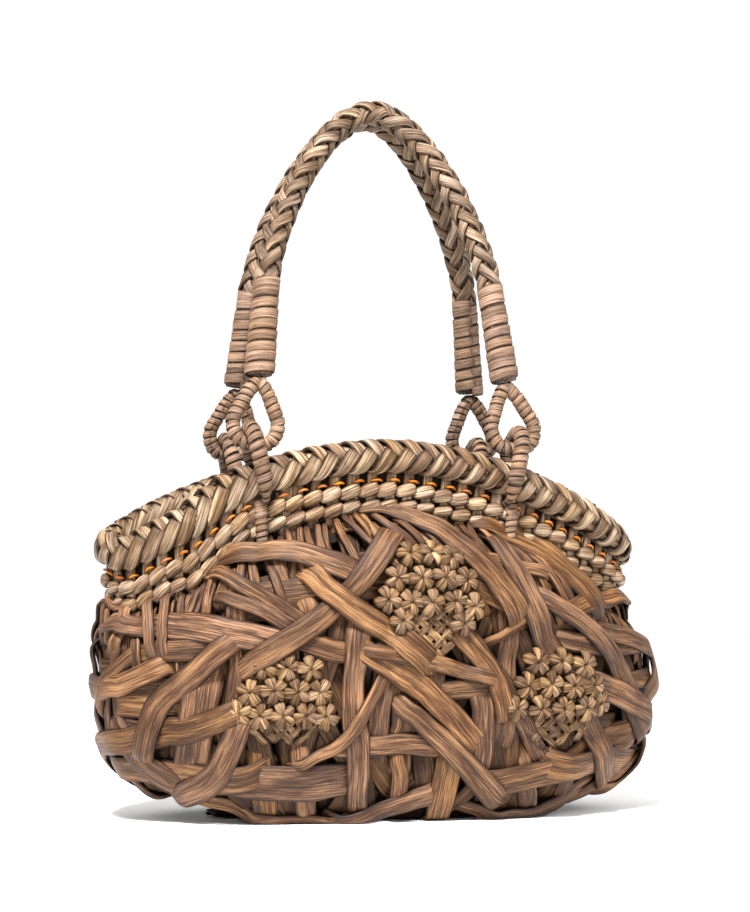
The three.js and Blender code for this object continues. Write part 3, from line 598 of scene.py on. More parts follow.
def even_route(places, before, after):
    """Stations at even steps along a route, which runs on a little past both of its ends."""
    for _ in range(3):
        places[1:-1] = (places[:-2] + 2 * places[1:-1] + places[2:]) / 4
    length = along_wall(places)
    keep = np.concatenate([[True], np.diff(length) > 1e-5])
    places, length = places[keep], length[keep]
    wide = min(END_SPAN, length[-1] / 3)
    first, second, last_but_one, last = along_run([0, wide, length[-1] - wide, length[-1]], length, places)
    head = first + (first - second) / wide * before
    tail = last + (last - last_but_one) / wide * after
    places = np.vstack([head, places, tail])
    length = along_wall(places)
    count = max(int(round(length[-1] / STRIP_STATION)) + 1, 5)
    return along_run(np.linspace(0, length[-1], min(count, MOST_STATIONS)), length, places)


def spread(values, count):
    """One or a few values, spread evenly over so many stations."""
    values = np.atleast_1d(values)
    return np.interp(np.linspace(0, 1, count), np.linspace(0, 1, len(values)), values)


strips = []


def plan_strip(name, places, width, level, tuck=TUCK, thick=STRIP_THICKNESS, before=RUN_ON, after=RUN_ON,
               node=(), end_drop=TUCK_DROP):
    """Notes a strip for the weave: its stations on the wall, its widths and its levels."""
    places = even_route(np.array(places, float), before, after)
    ground = wall_place(places[:, 0], places[:, 1])
    widths = spread(width, len(places))
    levels = spread(level, len(places))
    length = along_wall(places)
    to_end = np.minimum(length, length[-1] - length)
    levels = levels - end_drop * np.clip(1 - to_end / tuck, 0, 1)
    strips.append(dict(name=name, places=places, ground=ground, width=widths, level=levels,
                       thick=np.full(len(places), thick), node=node))


FRONT_ROUTES = [
    # name, level, widths in pixels, pixels of the middle line, and the CAD node where there is one
    ("low_band", 2.6, (33, 35), [(232, 776), (290, 777), (343, 775)], "front_low_band"),
    ("low_band_right", 2.6, (30, 33), [(485, 777), (560, 762), (640, 733)], "front_low_band_right"),
    ("left_band", 3.2, (26, 31), [(108, 622), (170, 625), (220, 632), (280, 644)], "front_left_band"),
    ("left_post", 2.0, (40, 38, 42), [(206, 668), (198, 720), (188, 788)], "front_left_post"),
    ("middle_post", 3.0, (25, 22), [(356, 628), (352, 700), (355, 740), (356, 803)], "front_middle_post"),
    ("right_band", 3.9, (14, 17, 15), [(362, 648), (420, 660), (489, 678)], "front_right_band"),
    ("end_band", 3.1, (21, 22), [(568, 611), (600, 599), (636, 600)], "front_end_band"),
    ("top_band", 2.9, (25, 27, 22), [(226, 561), (290, 556), (354, 572)], "front_top_band"),
    ("left_sweep", 4.6, (25, 24, 25), [(228, 645), (190, 678), (158, 707), (142, 762)], "front_left_sweep"),
    ("foot_sweep", 4.2, (30, 26, 24), [(174, 803), (215, 772), (238, 728)], "front_foot_sweep"),
    ("crossing", 4.2, (22, 24, 26), [(250, 664), (339, 602), (396, 532)], "front_crossing"),
    ("right_sweep", 3.5, (20, 25, 24), [(544, 603), (590, 635), (622, 672), (648, 738)], "front_right_sweep"),
    ("corner_post", 4.4, (24, 26, 22), [(583, 716), (600, 750), (610, 790)], "front_corner_post"),
    ("neck_sweep", 4.8, (11, 20, 30, 28), [(361, 498), (400, 515), (450, 545), (490, 580), (512, 612)],
     "front_neck_sweep"),
    ("shoulder_sweep", 4.3, (16, 30, 36, 30), [(482, 502), (530, 545), (570, 580), (594, 604)],
     "front_shoulder_sweep"),
    ("long_sweep", 5.2, (24, 27, 26), [(313, 580), (350, 610), (400, 640), (424, 660)], "front_long_sweep"),
    ("fore_sweep_a", 2.4, (16, 18), [(214, 577), (260, 597), (306, 627)]),
    ("fore_sweep_b", 2.7, (15, 16), [(222, 598), (262, 612), (296, 630)]),
    ("thin_rise", 4.5, (12, 14), [(303, 757), (340, 739), (378, 684)]),
    ("left_foot", 3.1, (24, 30), [(110, 722), (140, 765), (182, 792)]),
    ("left_mid_band", 2.3, (20, 22), [(136, 652), (170, 651), (214, 650)]),
    ("left_fold", 2.4, (44, 34), [(112, 696), (140, 698), (172, 698)]),
    ("left_fold_low", 2.7, (18, 18), [(112, 724), (138, 732), (166, 730)]),
    ("left_rise", 2.9, (15, 16), [(95, 712), (103, 682), (130, 655)]),
    ("left_edge_post", 1.9, (13, 12), [(101, 680), (100, 720), (106, 760)]),
    ("left_edge_post_b", 2.2, (11, 12), [(112, 640), (110, 700), (124, 764)]),
    ("pair_post_a", 4.4, (11, 14, 11), [(153, 588), (149, 615), (150, 642)]),
    ("pair_post_b", 4.4, (10, 12, 11), [(168, 588), (164, 615), (163, 642)]),
    ("short_post", 2.6, (12, 13), [(133, 632), (134, 655), (135, 680)]),
    ("inner_post_a", 1.6, (12, 12), [(181, 640), (183, 700), (182, 790)]),
    ("inner_post_b", 1.7, (14, 14), [(237, 640), (236, 680), (228, 730)]),
    ("fall_right", 3.6, (22, 26, 30), [(358, 648), (410, 680), (440, 705), (470, 738)], "front_middle_fall"),
    ("fall_low", 4.1, (19, 25, 26), [(405, 708), (450, 745), (494, 790)], "front_low_fall"),
    ("bottom_left", 3.3, (20, 22), [(338, 811), (385, 800), (430, 789)]),
    ("bottom_post", 3.0, (26, 28), [(447, 752), (441, 785), (436, 812)]),
    ("bottom_post_left", 1.8, (24, 24), [(258, 760), (262, 785), (268, 815)]),
    ("middle_rise", 2.1, (24, 22), [(480, 696), (480, 730), (478, 765)]),
    ("middle_fan", 1.9, (30, 24), [(406, 706), (401, 738), (399, 770)]),
    ("patch_fall", 3.0, (22, 22), [(456, 632), (490, 675), (502, 716)]),
    ("neck_fall", 3.2, (20, 26, 24), [(492, 545), (520, 590), (540, 640), (554, 660)], "front_neck_fall"),
    ("right_loop", 3.2, (20, 22, 20), [(600, 630), (640, 640), (656, 658), (652, 702)]),
    ("right_loop_low", 2.6, (20, 22), [(584, 690), (620, 684), (656, 676)]),
    ("right_foot", 4.0, (14, 18, 18), [(649, 745), (632, 785), (600, 800)]),
    ("fan_band", 1.4, (17, 18), [(350, 524), (378, 528), (406, 531)]),
    ("patch_side_band", 2.2, (22, 27), [(462, 580), (490, 596), (524, 613)]),
    ("thin_slant", 2.6, (9, 10), [(487, 642), (510, 627), (534, 613)]),
    ("bottom_right", 2.4, (16, 18), [(470, 806), (530, 806), (600, 790)]),
    ("bottom_under_left", 2.2, (16, 16), [(176, 806), (240, 810), (340, 812)]),
    ("right_upper_band", 2.0, (14, 16), [(470, 560), (500, 566), (545, 578)]),
    ("low_middle_band", 2.0, (22, 22), [(335, 745), (400, 741), (480, 745)]),
    ("left_upper_fall", 2.3, (12, 15), [(120, 590), (128, 605), (112, 640)]),
    ("foot_post_a", 2.2, (22, 20), [(300, 752), (304, 785), (306, 812)]),
    ("foot_post_b", 2.4, (18, 20), [(395, 752), (398, 780), (396, 808)]),
    ("foot_post_c", 2.3, (22, 20), [(520, 762), (524, 785), (526, 806)]),
    ("foot_post_d", 2.1, (18, 18), [(562, 752), (564, 780), (560, 800)]),
    ("mid_post_a", 1.7, (22, 24), [(306, 600), (312, 640), (322, 720)]),
    ("mid_post_b", 1.6, (24, 22), [(386, 660), (380, 700), (372, 760)]),
    ("mid_post_c", 1.8, (22, 24), [(505, 600), (506, 660), (498, 740)]),
    ("mid_post_d", 1.7, (20, 22), [(434, 668), (436, 700), (432, 752)]),
    ("mid_band_a", 1.9, (20, 22), [(300, 640), (340, 652), (400, 660)]),
    ("mid_band_b", 2.0, (18, 20), [(440, 690), (490, 688), (540, 690)]),
    ("right_low_fall", 2.0, (20, 22), [(470, 640), (510, 700), (540, 760)]),
    ("right_back_band", 1.8, (20, 20), [(560, 640), (610, 648), (650, 640)]),
    ("upper_back_band", 1.5, (22, 22), [(230, 600), (300, 590), (370, 590)]),
]
FROM_THE_ROWS = ("neck_sweep", "shoulder_sweep")
for name, level, widths, route, *node in FRONT_ROUTES:
    before = SHORT_RUN_ON if name in FROM_THE_ROWS else RUN_ON
    after = SHORT_RUN_ON if name == "crossing" else RUN_ON
    plan_strip("front_" + name, wall_route(route), np.array(widths) * PIXEL, level, before=before,
               after=after, node=node)

# The back, which the photograph doesn't show, has broad strips of the same kinds, and so have the
# two ends. Places are in percent: along or across from the middle, and up from the foot to the neck.
def at_percent(face, across, up):
    """The angle and the share of a place on the back or on an end."""
    side = np.clip(np.asarray(across, float) / 100, -0.99, 0.99)
    part = power(side, PLAN_POWER / 2)
    angle = {"back": np.arccos(part), "left": math.pi - np.arcsin(part), "right": np.arcsin(part)}[face]
    return np.stack([angle, np.interp(np.asarray(up, float) / 100, wall_levels[:, 2], level_shares)], -1)


OTHER_ROUTES = [
    # name, face, level, widths in millimetres, places, and the CAD node where there is one
    ("low_band_left", "back", 2.6, (19, 20), [(-70, 20), (-36, 17), (-2, 16)], "back_low_band_left"),
    ("low_band_right", "back", 2.8, (20, 19), [(4, 17), (38, 18), (70, 21)], "back_low_band_right"),
    ("high_band_left", "back", 3.1, (17, 20, 18), [(-76, 58), (-42, 68), (-8, 72)], "back_high_band_left"),
    ("high_band_right", "back", 3.4, (18, 20, 17), [(2, 74), (38, 68), (74, 58)], "back_high_band_right"),
    ("rising_sweep", "back", 4.3, (22, 20, 17), [(-70, 30), (-35, 52), (-10, 92)], "back_rising_sweep"),
    ("falling_sweep", "back", 4.6, (22, 21, 17), [(68, 33), (39, 50), (11, 92)], "back_falling_sweep"),
    ("crossing", "back", 5.1, (17, 22, 19), [(-52, 77), (0, 50), (38, 20)], "back_crossing"),
    ("post_a", "back", 2.2, (18, 16), [(-57, 8), (-53, 40), (-58, 60)]),
    ("post_b", "back", 2.3, (15, 17), [(-24, 6), (-22, 30), (-26, 62)]),
    ("post_c", "back", 2.1, (18, 15), [(16, 6), (13, 36), (18, 62)]),
    ("post_d", "back", 2.4, (16, 18), [(52, 8), (56, 36), (50, 64)]),
    ("counter_sweep", "back", 3.8, (16, 20, 16), [(54, 82), (20, 62), (-18, 34), (-34, 14)],
     "back_counter_sweep"),
    ("mid_band_left", "back", 2.9, (17, 18), [(-84, 42), (-52, 40), (-18, 44)], "back_middle_band"),
    ("mid_band_right", "back", 3.0, (17, 16), [(14, 42), (48, 39), (84, 44)]),
    ("edge_rise_left", "back", 3.7, (15, 18), [(-86, 22), (-76, 44), (-60, 74)]),
    ("edge_rise_right", "back", 3.6, (18, 15), [(86, 22), (78, 44), (62, 76)]),
    ("neck_fall_left", "back", 4.0, (9, 16, 18), [(-38, 97), (-52, 80), (-74, 62)]),
    ("neck_fall_right", "back", 4.1, (9, 17, 18), [(34, 97), (48, 80), (70, 60)]),
    ("neck_fall_middle", "back", 3.5, (8, 15, 16), [(-4, 97), (8, 76), (26, 56)]),
    ("foot_slant_left", "back", 3.9, (16, 15), [(-44, 4), (-58, 20), (-74, 32)]),
    ("foot_slant_right", "back", 3.9, (16, 15), [(34, 4), (52, 18), (72, 34)]),
    ("foot_slant_middle", "back", 3.6, (15, 16), [(-8, 4), (-2, 20), (14, 32)]),
    ("low_band", "left", 3.0, (18, 18), [(-90, 22), (0, 25), (90, 22)], "left_low_band"),
    ("crossing", "left", 4.1, (15, 17), [(-88, 44), (0, 34), (60, 12)], "left_crossing"),
    ("end_post", "left", 2.4, (15, 15), [(-15, 6), (-6, 46), (15, 84)], "left_end_post"),
    ("fall", "left", 3.4, (9, 16), [(20, 96), (40, 72), (60, 46)]),
    ("second_post", "left", 2.2, (13, 14), [(46, 8), (40, 40), (34, 70)]),
    ("high_band", "left", 2.9, (14, 15), [(-70, 70), (0, 62), (80, 66)]),
    ("low_band", "right", 3.0, (18, 18), [(-90, 24), (0, 22), (90, 21)], "right_low_band"),
    ("end_post", "right", 2.4, (15, 15), [(3, 6), (-12, 44), (-27, 84)], "right_end_post"),
    ("crossing", "right", 4.2, (15, 16), [(-86, 54), (0, 41), (88, 36)], "right_crossing"),
    ("fall", "right", 3.4, (9, 16), [(6, 96), (26, 70), (52, 44)]),
    ("second_post", "right", 2.2, (13, 13), [(40, 8), (44, 40), (40, 72)]),
    ("foot_slant", "right", 3.7, (13, 15), [(-70, 6), (-34, 18), (-6, 34)]),
]
for name, face, level, widths, route, *node in OTHER_ROUTES:
    marks = smooth_run(route, 12)
    plan_strip(f"{face}_{name}", at_percent(face, marks[:, 0], marks[:, 1]), np.array(widths) / 1000, level,
               node=node)

# Second layer, the thin strips of the wall itself: long slanting ones both ways, uprights and part
# rounds. Their bark is darkened as painted shade, so they show dark between the broad strips, and
# their places are drawn at random.
LATTICE_SEED = 11
LATTICE_STRIPS = 132
LATTICE_THICKNESS = 0.0020
LATTICE_LEANS = (0.0, 0.55, -0.55)
lattice_rng = np.random.default_rng(LATTICE_SEED)
for number in range(LATTICE_STRIPS):
    kind = number % 4
    start = 2 * math.pi * (number * 0.382 + lattice_rng.uniform(-0.02, 0.02))
    if kind == 3:
        share = lattice_rng.uniform(0.06, 0.85)
        turn = np.linspace(0, lattice_rng.uniform(0.5, 1.0), 24)
        route = np.stack([start + turn, share + 0.05 * np.sin(3 * turn + start)], -1)
    else:
        low, high = lattice_rng.uniform(0.0, 0.25), lattice_rng.uniform(0.7, 0.99)
        lean = LATTICE_LEANS[kind] + lattice_rng.uniform(-0.2, 0.2)
        share = np.linspace(low, high, 24)
        route = np.stack([start + lean * (share - low), share], -1)
    weave = lattice_rng.uniform(0, 1.2) + 0.5 * np.sin(np.linspace(0, lattice_rng.uniform(5, 12), 9))
    plan_strip("lattice", route, lattice_rng.uniform(0.009, 0.0155), weave, thick=LATTICE_THICKNESS, before=0,
               after=0, end_drop=2.2)

# Inner layer: broad rounds woven one over and one under through broad uprights, in bark darkened as
# painted shade. It shows in the gaps of the strips that lie on it, and is the bare inside of the bag.
INNER_ROUNDS = 8
INNER_POSTS = 58
INNER_LEVEL = -1.6
INNER_SWING = 0.5
INNER_THICKNESS = 0.0014
inner_rng = np.random.default_rng(17)
for number in range(INNER_POSTS):
    start = 2 * math.pi * (number + inner_rng.uniform(-0.15, 0.15)) / INNER_POSTS
    share = np.linspace(0.02, 0.98, 24)
    weave = INNER_LEVEL + INNER_SWING * np.cos(math.pi * (np.linspace(0, INNER_ROUNDS, 40) + number))
    route = np.stack([start + inner_rng.uniform(-0.05, 0.05) * share, share], -1)
    plan_strip("inner", route, inner_rng.uniform(0.0085, 0.0115), weave, thick=INNER_THICKNESS, before=0,
               after=0, end_drop=0.5)
for number in range(INNER_ROUNDS):
    for part in range(4):
        turn = np.linspace(0, math.pi / 2 + 0.12, 60) + part * math.pi / 2 + 0.3 * number
        share = np.full(60, (number + 0.55) / INNER_ROUNDS) + 0.006 * np.sin(7 * turn)
        weave = INNER_LEVEL - INNER_SWING * np.cos(turn * INNER_POSTS / 2 + math.pi * number)
        plan_strip("inner", np.stack([turn, share], -1), inner_rng.uniform(0.013, 0.0165), weave,
                   thick=INNER_THICKNESS, before=0, after=0, end_drop=0.5)

# Stakes, split in two or three below the neck, where they fan out and widen into the weave. On the
# right of the front they all lean one way, as in the photograph.
STAKE_SEED = 23
RIGHT_FRONT = (-1.75, -0.4)
stake_rng = np.random.default_rng(STAKE_SEED)
for stitch in range(STITCHES):
    for split in range(2 if stitch % 3 else 3):
        angle = float(stitch_angle(stitch + 0.25 + 0.38 * split))
        right_front = RIGHT_FRONT[0] < (angle if angle < math.pi else angle - 2 * math.pi) < RIGHT_FRONT[1]
        lean = stake_rng.uniform(0.2, 0.65) if right_front else stake_rng.uniform(-0.3, 0.34)
        drop = stake_rng.uniform(0.16, 0.34)
        fall = np.linspace(0, 1, 14)
        route = np.stack([angle + lean * drop * fall**1.5, 1.0 - drop * fall], -1)
        width = (0.0042, 0.0058, stake_rng.uniform(0.0070, 0.0105))
        plan_strip("stake", route, width, (1.9 - 0.3 * split, 1.7, 1.3), thick=0.0024, tuck=0.004,
                   before=0.001, after=0, end_drop=1.5)

# Settling: where strips cross, the one of the higher level comes to lie on the other, and each
# strip keeps its bends even.
LEVEL_RISE = 0.0013
WALL_DEPTH = -0.0042
CROSSING_REACH = 0.78
SETTLE_TURNS = 90
EVEN_TURNS = 84
EVEN_OUT = 4


def settle():
    """Pushes crossing strips apart by their levels, and lets each strip even out its bends."""
    ground = np.vstack([s["ground"] for s in strips])
    half = np.concatenate([s["width"] for s in strips]) / 2
    level = np.concatenate([s["level"] for s in strips])
    thick = np.concatenate([s["thick"] for s in strips])
    owner = np.repeat(np.arange(len(strips)), [len(s["ground"]) for s in strips])
    index = np.arange(len(ground))
    before = np.where(np.roll(owner, 1) == owner, index - 1, index)
    after = np.where(np.roll(owner, -1) == owner, index + 1, index)
    before[0], after[-1] = 0, len(index) - 1
    tree = kdtree.KDTree(len(ground))
    for i, place in enumerate(ground):
        tree.insert(place, i)
    tree.balance()
    over, under = [], []
    widest = half.max()
    for i, place in enumerate(ground):
        for _, j, distance in tree.find_range(place, half[i] + widest):
            near = distance < CROSSING_REACH * (half[i] + half[j])
            if near and level[i] > level[j] and owner[i] != owner[j]:
                over.append(i)
                under.append(j)
    over, under = np.array(over), np.array(under)
    apart = 0.5 * (thick[over] + thick[under])
    rest = WALL_DEPTH / 2 + LEVEL_RISE * level
    height = rest.copy()
    for turn in range(SETTLE_TURNS):
        miss = np.clip(apart - (height[over] - height[under]), 0, None)
        lift, sink = np.zeros(len(height)), np.zeros(len(height))
        np.maximum.at(lift, over, miss * 0.5)
        np.maximum.at(sink, under, miss * 0.4)
        height += lift - sink
        height += 0.02 * (rest - height)
        if turn < EVEN_TURNS:
            height += 0.5 * ((height[before] + height[after]) / 2 - height)
        height = np.maximum(height, WALL_DEPTH)
    for turn in range(EVEN_OUT):
        height = (height[before] + 2 * height + height[after]) / 4
    start = 0
    for strip in strips:
        strip["height"] = height[start:start + len(strip["ground"])]
        start += len(strip["ground"])


settle()

# Laying: each strip is bent over the wall at the heights that it settled at. The ends, the foot and
# the back are drawn in a little, to keep to the bag's outline and size.
FLOOR_GAP = 0.0003
FRONT_DRAW = 0.0010
BACK_DRAW = 0.0062
END_DRAW = 0.0106
LOW_DRAW = 0.0085
LOW_DRAW_TO = 0.50
END_FROM = 0.55
NUDGE = 0.001
BEND_REACH = 0.006
MAIN_SIDES = 24
MAIN_FOLDS = 0.0006
DEEP_SHADE = 0.66
FOOT_SHADE = 0.72


def wall_frame(places, height):
    """The centre line of a strip on the wall, the way out, and how the wall bends across it."""
    angle, share = places.T
    end = np.clip((np.abs(np.cos(angle)) - END_FROM) / (1 - END_FROM), 0, 1)
    behind = np.clip(np.sin(angle) / 0.3, 0, 1)
    low = np.clip(1 - share / LOW_DRAW_TO, 0, 1)
    end_draw = (END_DRAW + LOW_DRAW * low) * end * (2 - end)
    draw = np.maximum(end_draw, BACK_DRAW * behind * np.clip(5 * share, 0.3, 1))
    height = height - FRONT_DRAW - draw * np.clip(10 * (1 - share), 0.25, 1)

    def beside(turn, climb):
        return (wall_place(angle + turn, share + climb, height),
                wall_place(angle - turn, share - climb, height))

    centre = wall_place(angle, share, height)
    pairs = beside(NUDGE, 0), beside(0, NUDGE)
    by_angle, by_share = ((ahead - back) / (2 * NUDGE) for ahead, back in pairs)
    out = unit(np.cross(by_angle, by_share))
    across = unit(np.cross(out, np.gradient(centre, axis=0)))
    aa, bb, ab = (by_angle**2).sum(-1), (by_share**2).sum(-1), (by_angle * by_share).sum(-1)
    pa, pb = (across * by_angle).sum(-1), (across * by_share).sum(-1)
    turn = (pa * bb - pb * ab) / (aa * bb - ab * ab) * BEND_REACH
    climb = (pb * aa - pa * ab) / (aa * bb - ab * ab) * BEND_REACH
    bend = -((sum(beside(turn, climb)) - 2 * centre) * out).sum(-1) / BEND_REACH**2
    return centre, out, bend


def lay_strip(bundle, rng, strip, sides, folds):
    """Makes a strip of the weave, with painted shade where it lies deep and near the foot."""
    centre, out, bend = wall_frame(strip["places"], strip["height"])
    length = along_wall(strip["places"])
    sway = 1 + 0.07 * wander(rng, length, 0.010, 0.018)
    sway += 0.02 * wander(rng, length, 0.003, 0.006)
    turn = 0.10 * wander(rng, length, 0.02, 0.04)
    raised = np.clip((strip["height"] + 0.001) / 0.006, 0, 1)
    up = np.clip(3.5 * strip["places"][:, 1], 0, 1)
    shade = part_way(DEEP_SHADE, 1, raised) * part_way(FOOT_SHADE, 1, up)
    lay_bark(bundle, rng, centre, out, strip["width"] * sway, strip["thick"], sides, folds, turn=turn,
             bend=bend, flat=2.2, shade=shade)
    points = bundle.points[-1]
    points[:, 2] = np.maximum(points[:, 2], FLOOR_GAP)


bark_rng = np.random.default_rng(5)
under_bundle, layer_bundle, stake_bundle = Bundle(), Bundle(), Bundle()
small_bundles = {face: Bundle() for face in ("front", "back", "left", "right")}
for strip in strips:
    if strip["name"] == "inner":
        lay_strip(under_bundle, bark_rng, strip, 8, 0.0002)
    elif strip["name"] == "lattice":
        lay_strip(layer_bundle, bark_rng, strip, 12, 0.0004)
    elif strip["name"] == "stake":
        lay_strip(stake_bundle, bark_rng, strip, 8, 0.0004)
    elif strip["node"]:
        bundle = Bundle()
        lay_strip(bundle, bark_rng, strip, MAIN_SIDES, MAIN_FOLDS)
        bundle.piece(strip["name"] + "_bark", strip_finish, "basket", "strip_bark", *strip["node"])
    else:
        lay_strip(small_bundles[strip["name"].split("_")[0]], bark_rng, strip, MAIN_SIDES, MAIN_FOLDS)
under_bundle.piece("under_weave", shaded_under_finish, "basket", "under_bark", "woven_wall")
layer_bundle.piece("second_layer", shaded_layer_finish, "basket", "under_bark")
stake_bundle.piece("stake_fans", strip_finish, "basket", "strip_bark")
for face, bundle in small_bundles.items():
    bundle.piece(face + "_small_strips", strip_finish, "basket", "strip_bark")

# Knotted patches: thin strip plaited slantwise into a mat, with a flower knot of five loops at each
# crossing above, and the plaiting left open below. They lie on the broad strips of the front.
PATCHES = {
    # name: (middle and half size of the mat, rows of knots), in pixels
    "upper": ((424, 614), (43, 52), [
        [(404, 560), (426, 559), (447, 562)],
        [(393, 580), (417, 580), (440, 581), (460, 582)],
        [(385, 602), (407, 602), (429, 603), (451, 604), (469, 607)],
        [(397, 622), (459, 624)],
    ]),
    "left": ((281, 703), (45, 47), [
        [(263, 667), (285, 666), (308, 668)],
        [(250, 690), (273, 690), (296, 691), (318, 692)],
        [(238, 713), (260, 714), (283, 714), (305, 714), (323, 713)],
    ]),
    "right": ((551, 702), (44, 46), [
        [(532, 662), (554, 661), (576, 663)],
        [(521, 684), (543, 684), (565, 685), (586, 685)],
        [(510, 707), (533, 707), (556, 707), (578, 706), (594, 703)],
    ]),
}
KNOT_RADIUS = 0.0068
KNOT_HEIGHT = 0.0046
KNOT_LIFT = 0.0006
KNOT_LOOPS = 5
LOOP_THICKNESS = 0.0034
MAT_PITCH = 13.5
PATCH_STRIP = 0.0048
PATCH_THICKNESS = 0.0018
PATCH_RISE = 0.0010
PATCH_LIFT = 0.0016
PATCH_SLANT = 0.72
PATCH_SPACING = MAT_PITCH * 1.41 / math.sqrt(2)
PATCH_REST_SPREAD = 25
PATCH_REST_REACH = 0.012
# A loop of a knot from its root to its tip, in shares of the knot's radius, height and radius.
LOOP_REACH = np.array([0.07, 0.20, 0.42, 0.66, 0.88, 0.98, 0.97])
LOOP_RISE = np.array([0.66, 0.88, 1.02, 1.02, 0.78, 0.36, -0.1])
LOOP_WIDTH = np.array([0.34, 0.52, 0.74, 0.95, 1.02, 0.96, 0.84])
# The light tone is raised and paled: partly the bark's pale fibres, partly a painted sheen.
KNOT_COLOURS = (26, 12, 3), (56, 35, 15), (132, 106, 78)
knot_finish = bark_finish("knot_bark", KNOT_COLOURS, fibre=2600)

laid_places = np.vstack([s["ground"] for s in strips])
laid_heights = np.concatenate([s["height"] + s["thick"] / 2 for s in strips])


def heights_laid(places):
    """How high the strips stand at places on the wall."""
    ground = wall_place(places[:, 0], places[:, 1])
    found = []
    for place in ground:
        near = ((laid_places - place) ** 2).sum(-1) < PATCH_REST_REACH**2
        found.append(np.percentile(laid_heights[near], 85) if near.any() else 0.0)
    return np.array(found)


def knotted_patch(name):
    (middle_x, middle_y), (half_x, half_y), rows = PATCHES[name]
    rng = np.random.default_rng(len(name))
    bundle = Bundle()
    across = wall_route([(middle_x - PATCH_REST_SPREAD, middle_y - PATCH_REST_SPREAD),
                         (middle_x + PATCH_REST_SPREAD, middle_y + PATCH_REST_SPREAD)])
    rest = float(np.mean(heights_laid(across))) + PATCH_LIFT
    for lean in (1, -1):
        reach = int((half_x + half_y) / MAT_PITCH)
        for row in range(-reach, reach + 1):
            along = np.linspace(-1.5 * half_y, 1.5 * half_y, 60) * PATCH_SLANT
            x = lean * along + row * PATCH_SPACING
            y = along
            inside = (x / half_x) ** 2 + (y / half_y) ** 2 < rng.uniform(0.86, 1.08)
            if inside.sum() < 8:
                continue
            x, y = x[inside], y[inside]
            route = wall_route(np.stack([middle_x + x, middle_y + y], -1)[::6])
            places = even_route(route, 0, 0)
            share = np.linspace(y[0], y[-1], len(places))
            wave = np.cos(math.pi * share / (MAT_PITCH / 2)) * lean
            centre, out, bend = wall_frame(places, np.full(len(places), rest) + PATCH_RISE * wave)
            lay_bark(bundle, rng, centre, out, PATCH_STRIP * rng.uniform(0.9, 1.1), PATCH_THICKNESS, 10,
                     0.0003, bend=bend)
    for knots in rows:
        for knot in knots:
            place = wall_route([knot, (knot[0] + 1, knot[1])])[:1]
            centre, out, _ = wall_frame(np.vstack([place, place + [0, 0.002]]), np.full(2, rest + KNOT_LIFT))
            centre, out = centre[0], out[0]
            upward = unit(np.array([0, 0, 1.0]) - out * out[2])
            side = np.cross(upward, out)
            spin = rng.uniform(0, 2 * math.pi)
            for loop in range(KNOT_LOOPS):
                turn = spin + 2 * math.pi * loop / KNOT_LOOPS + rng.uniform(-0.08, 0.08)
                away = side * math.cos(turn) + upward * math.sin(turn)
                size = rng.uniform(0.92, 1.08)
                reach = KNOT_RADIUS * size * LOOP_REACH
                rise = KNOT_HEIGHT * size * LOOP_RISE
                path = centre + away * reach[:, None] + out * rise[:, None]
                ahead = unit(np.gradient(path, axis=0))
                over = unit(np.cross(ahead, np.cross(out, away)))
                over *= np.sign((over * (out + away)).sum(-1, keepdims=True))
                width = KNOT_RADIUS * size * LOOP_WIDTH
                lay_bark(bundle, rng, path, over, width, LOOP_THICKNESS, 12, 0.0007, end=0.9, flat=2.0)
    bundle.piece(f"knotted_patch_{name}_bark", knot_finish, "basket", "knot_bark", f"knotted_patch_{name}")


for name in PATCHES:
    knotted_patch(name)

# Twined rows: under the rim, two rows of strand are twisted round the stakes, one bead to a stitch,
# outside and inside. The lower row stands a little inside the upper one, because the neck draws in.
BEAD_LENGTH = 1.10
BEAD_HEIGHT = 0.0084
BEAD_THICKNESS = 0.0068
BEAD_LEAN = 0.0020
BEAD_OUT = 0.0022
BEAD_OVER = 0.0009
ROW_RAISE = 0.0013
# The light tone is raised and paled: partly the bark's pale fibres, partly a painted sheen.
TWINED_COLOURS = (32, 18, 7), (80, 57, 36), (154, 134, 112)
twined_finish = bark_finish("twined_bark", TWINED_COLOURS, fibre=2200)


def neck_strand(bundle, rng, stitches, outs, ups, width, thick, sides=8, folds=0.0003, end=0.5, lift=0.001,
                flat=2.0):
    """A strand laid in the neck, by stitches along, by distance out and by height from the rim line."""
    angle = stitch_angle(np.asarray(stitches))
    centre = neck_place(angle, outs, ups)
    out = unit(neck_place(angle, np.asarray(outs) + lift, ups) - centre)
    lay_bark(bundle, rng, centre, out, width, thick, sides, folds, end=end, flat=flat)


def twined_row(row, name):
    rng = np.random.default_rng(40 + row)
    bundle = Bundle()
    middle = -RIM_HALF_HEIGHT - LACING_GAP - ROW_PITCH * (row + 0.5) + ROW_RAISE
    inset = NECK_INSET + row * ROW_INSET
    share = np.linspace(-1, 1, 11)
    swell = np.sqrt(np.clip(1 - np.where(share < 0.1, (share - 0.1) / 1.12, (share - 0.1) / 0.92) ** 2, 0, 1))
    for stitch in range(STITCHES):
        for face in (1, -1):
            jitter = rng.uniform(-0.06, 0.06)
            along = stitch + 0.12 * row + (0.5 if face < 0 else 0) + jitter + share * BEAD_LENGTH / 2
            out = -inset + face * (BEAD_OUT + BEAD_OVER * share + 0.0022 * (swell - 1))
            up = middle + BEAD_LEAN * share * face + rng.uniform(-0.0004, 0.0004)
            width = BEAD_HEIGHT * rng.uniform(0.92, 1.06) * (0.2 + 0.8 * swell)
            neck_strand(bundle, rng, along, out, up, width, BEAD_THICKNESS * (0.3 + 0.7 * swell), 12,
                        lift=0.001 * face)
    bundle.piece(name + "_bark", twined_finish, "basket", "twined_bark", name)


twined_row(0, "twined_row_upper")
twined_row(1, "twined_row_lower")

